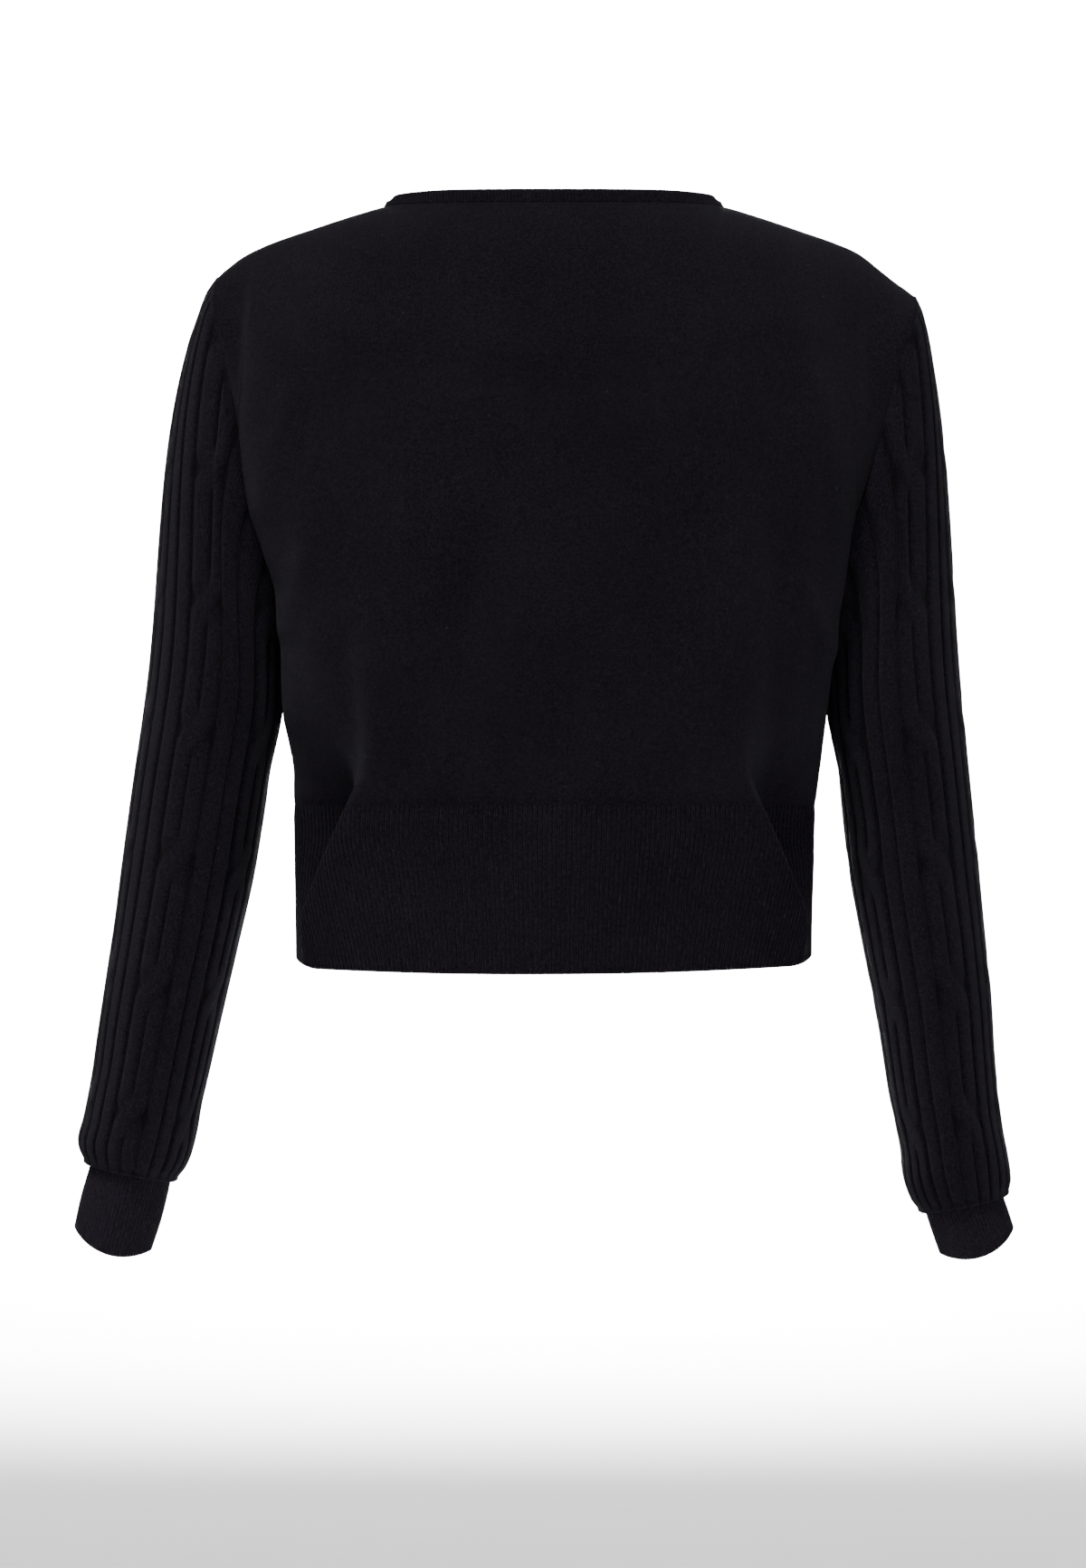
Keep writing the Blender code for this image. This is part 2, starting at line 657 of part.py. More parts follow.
def sleeve_base(side, places):
    """Groove-level grid of a sleeve, rows from the armhole to the cuff seam.

    Each column leaves its place on the armhole seam, runs down in a smooth curve to the first
    section and on through the others.  The last section closes in on the cuff.
    """
    parts = (places + COLUMN_SHIFT[side]) / SLEEVE_COLUMNS
    corners = places + SEAM_COLUMN_SHIFT
    sections = [ellipse_ring(ring, side, parts, -RIB_HEIGHT) for ring in SLEEVE_RINGS[side]]
    join = CUFF_RINGS[side][CUFF_JOIN_ROW]
    sections.append(ellipse_ring(join, side, parts, SEAM_GAP + SLEEVE_CLOTH))
    seam = on_loop(armhole_loop(side), corners) + armhole_axis(side) * SEAM_GAP / 2
    axis = unit(sections[1] - sections[0])
    height = np.cos(2 * np.pi * corners / SLEEVE_COLUMNS)[:, None]
    flare = CAP_FLARE[side] * np.clip(height, 0, 1) + UNDERARM_FLARE * np.clip(-height, 0, 1)
    leave = unit(axis + flare * armhole_axis(side))
    reach = np.linalg.norm(sections[0] - seam, axis=1, keepdims=True)
    rows = [
        hermite(seam, leave * reach, sections[0], axis * reach, k / HEAD_ROWS) for k in range(HEAD_ROWS)
    ]
    tube = [
        smooth_line([s[j] for s in sections], RING_STEPS, before=rows[-1][j]) for j in range(len(parts))
    ]
    return np.concatenate([np.array(rows), np.array(tube).transpose(1, 0, 2)])


def sleeve_normals(base):
    """Thickness directions of a sleeve, square to its axis at the cuff."""
    rims = facing(grid_normals(base, True), base, base.mean(axis=1, keepdims=True))
    ring = base[-1]
    quarter = len(ring) // 4
    axis = unit(np.cross(ring[0] - ring[quarter], ring[2 * quarter] - ring[quarter]))
    radial = ring - ring.mean(axis=0)
    rims[-1] = unit(radial - np.sum(radial * axis, axis=1, keepdims=True) * axis)
    return rims


def add_sleeve(name, side, base, rims, material, collection):
    """Sleeve wall: ribs and cables raised outside, plain inside."""
    steps = np.linalg.norm(np.diff(base, axis=0), axis=2)
    from_seam = np.concatenate([np.zeros((1, base.shape[1])), np.cumsum(steps, axis=0)])
    from_cuff = from_seam[-1] - from_seam
    fade = np.clip(np.minimum(from_seam, from_cuff) / SEAM_FADE, 0, 1)
    raised = knit_height(sleeve_places(), from_cuff, side) * fade
    outer = base + rims * raised[..., None]
    inner = (base - rims * SLEEVE_CLOTH)[:, :: len(COLUMN_SAMPLES)]
    add_wall(name, outer, inner, material, collection, closed=True)


def meet_at_armhole(side, panels, sleeve):
    """Give the two panels and the sleeve their thickness directions along the armhole.

    panels holds the thickness directions of the back and the front, sleeve those of the sleeve.
    """
    body = np.zeros((SLEEVE_COLUMNS, 3))
    for face in (BACK, FRONT):
        body[corners_of(face)] += panels[face][-UNDERARM_CORNER - 1 :, -1]
    for corner in (0, UNDERARM_CORNER):
        body[corner, 1] = 0
    body = smoothed(unit(body), True)
    corners = sleeve_places() + SEAM_COLUMN_SHIFT
    at_groove = np.argsort(np.mod(corners[:: len(COLUMN_SAMPLES)], SLEEVE_COLUMNS))
    cloth = sleeve[0, :: len(COLUMN_SAMPLES)][at_groove]
    for corner in (0, UNDERARM_CORNER):
        cloth[corner, 1] = 0
    cloth = smoothed(unit(cloth), True)
    body_rims = shared_rims(body, cloth)
    for face in (BACK, FRONT):
        panels[face][-UNDERARM_CORNER - 1 :, -1] = body_rims[corners_of(face)]
    sleeve[0] = on_loop(shared_rims(cloth, body), corners)


def add_cuff(name, side, material, collection):
    """Plain ribbed cuff, its top end tucked into the sleeve's mouth."""
    parts = np.arange(CUFF_COLUMNS) / CUFF_COLUMNS
    outer = np.array([ellipse_ring(ring, side, parts) for ring in CUFF_RINGS[side]])
    inner = np.array([ellipse_ring(ring, side, parts, -RIB_CLOTH) for ring in CUFF_RINGS[side]])
    add_wall(name, outer, inner, material, collection, closed=True)


# ---------------------------------------------------------------- neck band and front bands

def meet_at_neck(normals):
    """Even out the thickness directions of the panels along the neck seam."""
    loop = smoothed(neck_loop(normals), False)
    count = sum(GUIDE_STEPS[:NECK_GUIDES])
    normals[FRONT, LEFT][-1, : count + 1] = loop[: count + 1]
    normals[BACK, LEFT][-1, : count + 1] = loop[count : 2 * count + 1][::-1]
    normals[BACK, RIGHT][-1, : count + 1] = loop[2 * count : 3 * count + 1]
    normals[FRONT, RIGHT][-1, : count + 1] = loop[3 * count :][::-1]


def neck_loop(halves):
    """Values along the neck seam, from the left front round the back to the right front."""
    count = sum(GUIDE_STEPS[:NECK_GUIDES])
    return np.concatenate(
        [
            halves[FRONT, LEFT][-1, :count],
            halves[BACK, LEFT][-1, count::-1],
            halves[BACK, RIGHT][-1, 1 : count + 1],
            halves[FRONT, RIGHT][-1, :count][::-1],
        ]
    )


def add_neck_band(grids, normals, material, collection):
    """Narrow band that stands up from the neck seam, more upright behind than in front."""
    points = neck_loop(grids)
    rims = neck_loop(normals)
    along = unit(np.gradient(points, axis=0))
    rims[[0, -1]] = unit(rims[[0, -1]] * [0, 1, 1])
    along[[0, -1]] = [[1, 0, 0], [1, 0, 0]]
    rise = np.cross(along, rims)
    rise = unit(rise * np.sign(rise[:, 2:3]))
    upright = np.interp(points[:, 1], UPRIGHT_AT_Y, UPRIGHT_SHARE)[:, None]
    rise = unit(rise * (1 - upright) + np.array([0, 0, 1.0]) * upright)
    outward = unit(np.cross(along, rise))
    outward *= np.sign(np.sum(outward * rims, axis=1, keepdims=True))
    outer = []
    inner = []
    for share in NECK_BAND_ROWS:
        row = points + rise * (SEAM_GAP + NECK_BAND_HEIGHT * share)
        thickness = unit(rims * (1 - share) + outward * share) * BAND_CLOTH
        outer.append(row)
        inner.append(row - thickness)
    outer = np.array(outer)
    inner = np.array(inner)
    for grid in (outer, inner):
        grid[:, 0, 0] += SEAM_GAP / 2
        grid[:, -1, 0] -= SEAM_GAP / 2
    add_wall("neck_band", outer, inner, material, collection)


def front_profile(front_grid):
    """Outline of the closed front at its middle, bottom edge to the top of the neck band."""
    hem, _ = rib_half(FRONT, LEFT)
    path = np.concatenate([hem[:-1, 0], front_grid[:, 0]]) * [0, 1, 1]
    top = path[-1] + unit(path[-1] - path[-2]) * (NECK_BAND_HEIGHT + SEAM_GAP / 2)
    return np.vstack([path, top])


def profile_normals(path):
    """Forward-facing normals of the front outline."""
    along = unit(np.gradient(path, axis=0))
    normals = np.stack([0 * along[:, 0], -along[:, 2], along[:, 1]], axis=-1)
    return normals * -np.sign(normals[:, 1:2])


def add_front_band(name, path, lift, edges, material, collection):
    """Straight band along the front outline between two distances from the middle."""
    normals = profile_normals(path)
    across = np.array([edges[0], 0.0, edges[1]])[None, :, None] * np.array([1.0, 0, 0])
    outer = (path + normals * lift)[:, None, :] + across
    inner = outer - (normals * BAND_CLOTH)[:, None, :]
    add_wall(name, outer, inner, material, collection)


def add_button(name, path, drop, material, collection):
    """Round button seated on the upper band, with a raised rim and a shallow dish."""
    height = -path[:, 2]
    order = np.argsort(height)
    at = np.array([np.interp(drop, height[order], path[order, k]) for k in range(3)])
    normals = profile_normals(path)
    lean = np.array([np.interp(drop, height[order], normals[order, k]) for k in range(3)])
    button = bmesh.new()
    bmesh.ops.create_cone(
        button,
        cap_ends=True,
        segments=BUTTON_SEGMENTS,
        radius1=BUTTON_RADIUS * MM,
        radius2=BUTTON_RADIUS * BUTTON_TOP_SHARE * MM,
        depth=BUTTON_THICKNESS * MM,
    )
    top = max(button.faces, key=lambda face: face.calc_center_median().z)
    bmesh.ops.inset_individual(button, faces=[top], thickness=BUTTON_RIM * MM)
    bmesh.ops.inset_individual(button, faces=[top], thickness=BUTTON_DISH_SLOPE * MM)
    bmesh.ops.translate(button, verts=top.verts, vec=(0, 0, -BUTTON_DISH_DEPTH * MM))
    mesh = bpy.data.meshes.new(name)
    button.to_mesh(mesh)
    button.free()
    mesh.materials.append(material)
    obj = link(bpy.data.objects.new(name, mesh), collection)
    seat = at + unit(lean) * (OVER_BAND_RISE + SEAM_GAP + BUTTON_THICKNESS / 2)
    obj.location = seat * MM
    obj.rotation_euler = (np.arctan2(-lean[1], lean[2]), 0, 0)


def add_front_closing(front_grid, band_material, button_material, collection):
    """Lower band, upper band over it, and the row of buttons through both."""
    path = front_profile(front_grid)
    half = BAND_WIDTH / 2
    seam = half - SEAM_GAP / 2
    add_front_band(
        "button_band_left", path, -UNDER_BAND_SINK, (-half + SEAM_GAP, seam), band_material, collection
    )
    add_front_band(
        "button_band_right", path, OVER_BAND_RISE, (-seam, half), band_material, collection
    )
    for k in range(BUTTON_COUNT):
        drop = FIRST_BUTTON_DROP + (LAST_BUTTON_DROP - FIRST_BUTTON_DROP) * k / (BUTTON_COUNT - 1)
        add_button("button_{}".format(k + 1), path, drop, button_material, collection)


# ---------------------------------------------------------------- garment

def clear_scene():
    """Remove the objects that are in the file."""
    for obj in list(bpy.data.objects):
        bpy.data.objects.remove(obj, do_unlink=True)


def main():
    clear_scene()
    collection = bpy.data.collections.new("cardigan")
    bpy.context.scene.collection.children.link(collection)
    jersey = cloth_material("black_jersey", (0.012, 0.011, 0.014), 0.92)
    cable = cloth_material("black_cable_knit", (0.013, 0.012, 0.015), 0.9)
    rib = cloth_material("black_fine_rib", (0.012, 0.011, 0.014), 0.9)
    plastic = cloth_material("black_button", (0.008, 0.008, 0.009), 0.35)

    grids = {(face, side): half_panel(face, side) for face in (BACK, FRONT) for side in (LEFT, RIGHT)}
    rims = {key: half_panel_normals(*key, grid) for key, grid in grids.items()}
    meet_at_neck(rims)
    for side, label in ((LEFT, "left"), (RIGHT, "right")):
        base = sleeve_base(side, sleeve_places())
        sleeve_rims = sleeve_normals(base)
        meet_at_armhole(side, {face: rims[face, side] for face in (BACK, FRONT)}, sleeve_rims)
        add_sleeve("sleeve_" + label, side, base, sleeve_rims, cable, collection)
        add_cuff("cuff_" + label, side, rib, collection)
        front = seamed(FRONT, side, grids[FRONT, side])
        add_panel("front_" + label, front, rims[FRONT, side], BODY_CLOTH, jersey, collection)
    outer = joined({side: seamed(BACK, side, grids[BACK, side]) for side in (LEFT, RIGHT)})
    outer_rims = joined({side: rims[BACK, side] for side in (LEFT, RIGHT)})
    add_panel("back_panel", outer, outer_rims, BODY_CLOTH, jersey, collection)
    add_hem(rib, collection)
    add_neck_band(grids, rims, rib, collection)
    add_front_closing(grids[FRONT, LEFT], rib, plastic, collection)


main()
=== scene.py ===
"""Cropped cardigan with a jersey body, cable-and-rib sleeves and ribbed trims, filled out as worn.

The frame is +Z up, the back of the garment faces +Y and the wearer's left is +X.  Sizes are in
millimetres, and "drop" is the distance below the origin; a mesh is made in metres.  Every cloth
piece is a thin closed shell on its solid's own form, worked out again here on a finer grid.
"""
import logging
import math
from dataclasses import dataclass, field
from enum import Enum
from typing import NamedTuple

import bpy
import numpy as np
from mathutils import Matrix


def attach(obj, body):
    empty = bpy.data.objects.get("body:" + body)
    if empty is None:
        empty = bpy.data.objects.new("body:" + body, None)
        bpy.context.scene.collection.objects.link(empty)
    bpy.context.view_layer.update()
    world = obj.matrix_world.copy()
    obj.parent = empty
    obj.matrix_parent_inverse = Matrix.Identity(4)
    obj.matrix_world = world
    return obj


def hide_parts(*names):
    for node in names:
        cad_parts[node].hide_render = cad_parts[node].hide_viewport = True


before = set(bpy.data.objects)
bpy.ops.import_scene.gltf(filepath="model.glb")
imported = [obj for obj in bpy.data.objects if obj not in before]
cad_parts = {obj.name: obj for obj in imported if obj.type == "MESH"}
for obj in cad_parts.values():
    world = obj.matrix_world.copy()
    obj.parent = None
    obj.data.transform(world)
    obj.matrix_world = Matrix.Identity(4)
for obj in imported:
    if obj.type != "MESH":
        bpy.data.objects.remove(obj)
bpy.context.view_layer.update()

LOG = logging.getLogger("cardigan")
MM = 0.001
BODY = "root"
RIM_ANGLE = 55.0
Array = np.ndarray


class Side(Enum):
    """The wearer's left or right, with its sign along X."""

    LEFT = 1
    RIGHT = -1


class Face(Enum):
    """Back or front of the garment, with its sign along Y."""

    BACK = 1
    FRONT = -1


# ---------------------------------------------------------------- tables of sizes

class Section(NamedTuple):
    """Half section of the body at a drop: centre, ridge, valley, side fold and side seam."""

    drop: float
    centre_y: float
    ridge_x: float
    ridge_y: float
    valley_x: float
    valley_y: float
    side_left: float
    side_right: float
    side_y: float
    seam_x: float


class Fold(NamedTuple):
    """Soft ridge or trough between two places on a panel; a negative height is a trough."""

    top_x: float
    top_drop: float
    low_x: float
    low_drop: float
    half_width: float
    height: float


class Spot(NamedTuple):
    """Point of a seam or outline, at a place along it."""

    at: float
    x: float
    y: float
    drop: float


class Ring(NamedTuple):
    """Sleeve or cuff section, from its outermost to its innermost point."""

    out_x: float
    out_drop: float
    in_x: float
    in_drop: float
    half_depth: float
    mid_y: float


class Bend(NamedTuple):
    """Soft bend of a sleeve: distance from the cuff, column, and its reach along and round."""

    at: float
    place: float
    reach: float
    spread: float
    height: float


def table(kind: type, *rows: tuple) -> tuple:
    """Rows of a table as named tuples of one kind."""
    return tuple(kind(*row) for row in rows)


BACK_SECTIONS = table(
    Section,
    (439, 96, 138, 49, 145, 34, 147.5, 147.5, 17, 148),
    (408, 94, 141, 57, 139, 40, 147.5, 147.5, 18, 148),
    (383, 92, 132, 70, 126, 46, 147.5, 148, 18, 148),
    (347, 90, 116, 84, 111, 53, 148, 149, 18, 147),
    (325, 92, 106, 89, 121, 61, 148.5, 152, 24, 146),
    (297, 94, 100, 92, 130, 69, 154, 155, 36, 145),
    (260, 95, 98, 92, 134, 74, 155, 159, 47, 142),
    (238, 95, 98, 92, 135, 76, 156.5, 162, 50, 145),
    (220, 95, 98, 92, 136, 77, 159, 165, 52, 150),
    (192, 95, 98, 92, 139, 79, 169, 168, 54, 160),
    (156, 94, 98, 90, 142, 78, 176, 170.5, 55, 174),
    (121, 91, 98, 87, 142, 75, 177.5, 171.5, 55, 182),
)
FRONT_SECTIONS = table(
    Section,
    (439, 97, 138, 47, 145, 32, 147.5, 147.5, 16, 148),
    (408, 97, 140, 56, 140, 40, 147, 147, 18, 148),
    (383, 97, 131, 68, 130, 48, 146.5, 146.5, 20, 148),
    (347, 98, 118, 80, 120, 55, 146, 146, 22, 147),
    (325, 100, 108, 86, 126, 62, 147, 147, 27, 146),
    (297, 104, 102, 90, 130, 68, 150, 150, 36, 145),
    (260, 108, 98, 92, 132, 73, 152, 153, 45, 142),
    (238, 110, 97, 92, 133, 74, 153, 155, 48, 145),
    (192, 109, 96, 90, 136, 74, 163, 162, 51, 160),
    (156, 104, 101, 84, 139, 71, 169, 166, 52, 174),
    (121, 96, 106, 77, 140, 67, 172, 168, 52, 182),
)
SECTIONS = {Face.BACK: BACK_SECTIONS, Face.FRONT: FRONT_SECTIONS}

# The big folds, which the solids have too.
BACK_FOLDS = table(
    Fold,
    (88, 205, 104, 345, 17, 3.0), (20, 250, 36, 350, 16, 2.4), (-8, 120, -2, 240, 18, 2.0),
    (-38, 255, -58, 352, 17, 2.8), (-88, 165, -114, 340, 18, 3.2),
)
# Creases that only the cloth has: troughs beside the folds, and slack between the shoulders.
CREASES = {
    Face.BACK: table(
        Fold,
        (43, 207, 79, 332, 13, -1.6), (-46, 176, -80, 310, 14, -1.6), (8, 250, -8, 345, 9, -1.0),
        (62, 262, 66, 344, 7, 0.9), (-66, 270, -74, 330, 8, -0.6), (-22, 285, -28, 347, 7, 0.8),
        (118, 262, 112, 338, 8, -1.3), (-128, 210, -120, 332, 9, -1.4), (128, 78, 20, 92, 11, 0.8),
        (96, 106, -40, 112, 12, -0.8), (-30, 84, -128, 76, 12, 0.8), (20, 138, -105, 128, 12, 0.7),
        (150, 120, 165, 178, 9, 0.9), (-148, 110, -162, 176, 9, 0.9), (140, 205, 152, 246, 8, 0.9),
        (-138, 222, -156, 258, 8, 1.0), (165, 62, 120, 118, 10, -0.7),
        (-176, 70, -128, 124, 11, -0.8),
    ),
    Face.FRONT: table(
        Fold,
        (60, 225, 92, 340, 16, 1.6), (-64, 215, -96, 340, 17, 1.7), (34, 262, 48, 345, 12, 1.2),
        (-30, 250, -46, 345, 12, 1.1), (78, 255, 112, 338, 10, -1.2),
        (-48, 240, -72, 338, 11, -1.1), (120, 95, 60, 150, 13, -1.0),
        (-128, 100, -66, 156, 13, -1.0), (138, 186, 98, 206, 12, 1.0),
        (-140, 192, -100, 214, 12, 1.0), (150, 150, 160, 205, 8, 0.9),
        (-152, 150, -158, 212, 8, 0.9),
    ),
}
# Shoulder line seen from behind, by its distance from the middle.
SHOULDER_LINE = table(
    Spot,
    (98, 98, 0, 3.5), (115, 115, 0, 8.5), (130, 130, 0, 13.5), (145, 145, 0, 18.5),
    (166, 166, 0, 26), (183, 183, 0, 35), (193, 193, 0, 44), (207, 207, 0, 55),
)
# Left armhole seam at the back, by corner from the shoulder to the underarm.
ARMHOLE = table(
    Spot,
    (0, 193, 0, 44), (3, 194, 27, 53), (5, 192.5, 39, 71), (6, 186.5, 44, 99),
    (7, 179.5, 46, 135), (8, 170.5, 44, 173), (9, 160.5, 37, 203), (10, 154, 27, 223.5),
    (11, 149.5, 14, 234.5), (12, 146, 0, 238),
)
SHIFT_DROPS = (44.0, 137.0, 238.0)
ARMHOLE_SHIFT = {Side.LEFT: (0.0, 0.0, 0.0), Side.RIGHT: (14.0, 6.0, 2.0)}
SHOULDER_SLIP = {Side.LEFT: 0.0, Side.RIGHT: 11.0}
ARMHOLE_AXIS = np.array([0.96, 0.0, -0.28])
CORNERS = 24
UNDERARM = 12
SLEEVE_RINGS = {
    Side.LEFT: table(
        Ring,
        (235.6, 290, 157, 301, 46, 0), (241.8, 332, 164.8, 344, 46, -1),
        (247.5, 373, 172, 387, 46, -2), (253, 415, 181.7, 429.5, 45, -4),
        (259.5, 457, 191.6, 472, 44, -6), (266, 498, 201, 514, 43, -8),
        (271, 526, 205.4, 536, 42, -9), (274.3, 539, 209.3, 550, 40, -10),
        (272.5, 548, 214, 559, 35, -10),
    ),
    Side.RIGHT: table(
        Ring,
        (235, 290, 158, 303, 46, 0), (239.2, 332, 164.3, 344, 46, -1),
        (243.4, 373, 169.9, 387, 46, -2), (247.5, 415, 177.8, 429.5, 45, -4),
        (251.7, 457, 186.2, 472, 44, -6), (254.5, 498, 192.9, 514, 43, -8),
        (258.5, 530, 198.4, 541, 42, -9), (262.5, 553, 200.7, 561, 40, -10),
        (263.5, 564, 205, 573, 35, -10),
    ),
}
CUFF_RINGS = {
    Side.LEFT: table(
        Ring,
        (266.5, 550, 221.5, 559.5, 27.5, -10), (267.2, 554, 220.8, 563.5, 28, -10),
        (272.5, 572, 225.5, 584, 28, -10.5), (276.5, 590, 232, 604, 27, -11),
    ),
    Side.RIGHT: table(
        Ring,
        (254, 555.5, 208.5, 565.5, 27.5, -10), (259, 572, 214, 581.5, 28, -10),
        (262.3, 581.5, 218, 593.5, 28, -10.5), (265.2, 590.5, 222.5, 606, 27, -11),
    ),
}
SLEEVE_BENDS = {
    Side.LEFT: table(
        Bend,
        (250, 14, 14, 2.6, -1.6), (222, 16.5, 12, 2.4, -1.3), (300, 12.5, 16, 2.2, 1.3),
        (60, 3, 16, 3.0, -1.0), (38, 9, 12, 3.2, -1.2), (30, 18, 12, 3.4, -1.2),
        (150, 7, 20, 2.5, 0.9), (350, 9.5, 18, 2.0, -1.2), (105, 20, 18, 2.6, 0.9),
    ),
    Side.RIGHT: table(
        Bend,
        (262, 13, 15, 2.6, -1.5), (228, 9.5, 13, 2.4, -1.3), (305, 15, 15, 2.2, 1.2),
        (52, 4, 15, 3.0, -1.1), (30, 10, 12, 3.0, -1.3), (34, 17, 12, 3.4, -1.1),
        (160, 6, 20, 2.5, 0.9), (345, 10, 18, 2.0, -1.1), (100, 21, 18, 2.6, 0.8),
    ),
}


# ---------------------------------------------------------------- curves and grids

def unit(vectors: Array) -> Array:
    """Vectors along the last axis, scaled to length one."""
    return vectors / np.maximum(np.linalg.norm(vectors, axis=-1, keepdims=True), 1e-12)


def bell(offset: Array, reach: float) -> Array:
    """Bell curve: e to the minus square of the offset's share of the reach."""
    return np.exp(-((offset / reach) ** 2))


def hermite(p0: Array, t0: Array, p1: Array, t1: Array, w: Array) -> Array:
    """Cubic curve: its ends weighted by 2w^3 - 3w^2 + 1 and the complement, plus tangents.

    Args:
        p0: Start. t0: Tangent there.
        p1: End. t1: Tangent there.
        w: Place from 0 to 1.
    Returns:
        Points of the curve.
    """
    w2 = w * w
    w3 = w2 * w
    start = (2 * w3 - 3 * w2 + 1) * p0 + (w3 - 2 * w2 + w) * t0
    return start + (3 * w2 - 2 * w3) * p1 + (w3 - w2) * t1


def smooth_values(knots: Array, values: Array, at: Array) -> Array:
    """Values read from a smooth curve through a table, held constant past both ends.

    Args:
        knots: Rising places of the table's rows.
        values: Values at the knots.
        at: Places to read.
    Returns:
        The values there.
    """
    knots = np.asarray(knots, float)
    values = np.asarray(values, float)
    slopes = np.gradient(values, knots, axis=0)
    at = np.clip(np.asarray(at, float), knots[0], knots[-1])
    i = np.clip(np.searchsorted(knots, at, side="right") - 1, 0, len(knots) - 2)
    span = knots[i + 1] - knots[i]
    w = (at - knots[i]) / span
    if values.ndim > 1:
        w, span = w[..., None], span[..., None]
    return hermite(values[i], slopes[i] * span, values[i + 1], slopes[i + 1] * span, w)


def smooth_line(points: Array, steps: tuple, before: Array | None, after: Array | None) -> Array:
    """Smooth line through points, with knots at the running sum of the root of each chord.

    Args:
        points: Points along the first axis.
        steps: Number of intervals between each point and the next.
        before: Point ahead of the first, or None to run straight out.
        after: Point past the last, or None.
    Returns:
        Points of the line.
    """
    first = 2 * points[0] - points[1] if before is None else before
    last = 2 * points[-1] - points[-2] if after is None else after
    path = np.concatenate([first[None], points, last[None]])
    chord = np.linalg.norm(np.diff(path, axis=0), axis=-1)
    chord = chord.reshape(len(chord), -1).mean(axis=1)
    knots = np.concatenate([[0.0], np.cumsum(np.sqrt(chord))])
    slopes = np.gradient(path, knots, axis=0)
    line = []
    for i, count in enumerate(steps, start=1):
        w = (np.arange(count) / count).reshape((-1,) + (1,) * (path.ndim - 1))
        span = knots[i + 1] - knots[i]
        line.append(hermite(path[i], slopes[i] * span, path[i + 1], slopes[i + 1] * span, w))
    return np.concatenate(line + [points[-1:]])


def refined(values: Array, parts: int) -> Array:
    """Smooth curve through values along the first axis, each interval cut in equal parts.

    Args:
        values: Coarse values.
        parts: Number of parts in an interval.
    Returns:
        Fine values, which pass through the coarse ones.
    """
    slopes = np.gradient(values, axis=0)
    w = (np.arange(parts) / parts).reshape((1, -1) + (1,) * (values.ndim - 1))
    line = hermite(values[:-1, None], slopes[:-1, None], values[1:, None], slopes[1:, None], w)
    return np.concatenate([line.reshape((-1,) + values.shape[1:]), values[-1:]])


def refined_grid(grid: Array, row_parts: int, column_parts: int) -> Array:
    """Grid with the intervals of its rows and of its columns cut in equal parts."""
    fine = refined(refined(grid, row_parts).transpose(1, 0, 2), column_parts)
    return fine.transpose(1, 0, 2).copy()


def normals_of(grid: Array, closed: bool, centre: Array) -> Array:
    """Unit normals of a grid, turned all together to point away from a line of centres.

    Args:
        grid: Rows by columns of points.
        closed: Whether the last column meets the first.
        centre: Points to face away from.
    Returns:
        One normal for each point: the cross product of the two grid directions.
    """
    if closed:
        across = np.roll(grid, -1, axis=1) - np.roll(grid, 1, axis=1)
    else:
        across = np.gradient(grid, axis=1)
    normals = unit(np.cross(across, np.gradient(grid, axis=0)))
    return normals * np.sign(np.sum(normals * (grid - centre)))


def lengths_along(points: Array, axis: int) -> Array:
    """Running length of the grid lines along an axis, starting from 0.

    Args:
        points: Grid of points.
        axis: 0 along the columns, 1 along the rows.
    Returns:
        Length from the first point at each point.
    """
    steps = np.linalg.norm(np.diff(points, axis=axis), axis=-1)
    zero = np.zeros_like(np.take(steps, [0], axis=axis))
    return np.concatenate([zero, np.cumsum(steps, axis=axis)], axis=axis)


def read_line(at: Array, knots: Array, line: Array) -> Array:
    """Points read from a line by straight steps between its knots."""
    return np.stack([np.interp(at, knots, line[:, k]) for k in range(3)], -1)


def blurred(values: Array, reach: float) -> Array:
    """Values along a line, averaged with a bell-shaped weight.

    Args:
        values: Points or directions along the first axis.
        reach: Width of the bell in points.
    Returns:
        The smoothed values.
    """
    half = int(3 * reach)
    weight = np.exp(-0.5 * (np.arange(-half, half + 1) / reach) ** 2)
    weight /= weight.sum()
    padded = np.concatenate([values[:1].repeat(half, 0), values, values[-1:].repeat(half, 0)])
    return np.stack([np.convolve(padded[:, k], weight, "valid") for k in range(3)], -1)


def joined(halves: dict) -> Array:
    """One grid from a right half and a left half that share their centre column."""
    return np.concatenate([halves[Side.RIGHT][:, :0:-1], halves[Side.LEFT]], axis=1)


RIB_POWER = 0.8
FOLD_FADE = 0.3
BIG_FOLD_FADE = 0.35


def rib_wave(count: int, samples: int) -> Array:
    """Ribs across a run, from 0 on top to -1 in a groove: the size of a cosine to a power."""
    return np.abs(np.cos(np.pi * np.arange(count) / samples)) ** RIB_POWER - 1


def fold_height(x: Array, drop: Array, folds: tuple) -> Array:
    """Height of soft folds: a bell curve of the distance to each one's line, faded at both ends.

    Args:
        x: Distances to the left of the middle.
        drop: Drops.
        folds: Table of folds.
    Returns:
        Height of the cloth over its plain form.
    """
    height = np.zeros_like(x)
    for fold in folds:
        run_x, run_drop = fold.low_x - fold.top_x, fold.low_drop - fold.top_drop
        length = math.hypot(run_x, run_drop)
        from_x, from_drop = x - fold.top_x, drop - fold.top_drop
        along = (from_x * run_x + from_drop * run_drop) / length**2
        off = (from_x * run_drop - from_drop * run_x) / length
        reach = np.minimum(along + FOLD_FADE, 1 + FOLD_FADE - along) / FOLD_FADE
        reach = np.clip(reach, 0, 1)
        height += fold.height * (reach * reach * (3 - 2 * reach)) * bell(off, fold.half_width)
    return height


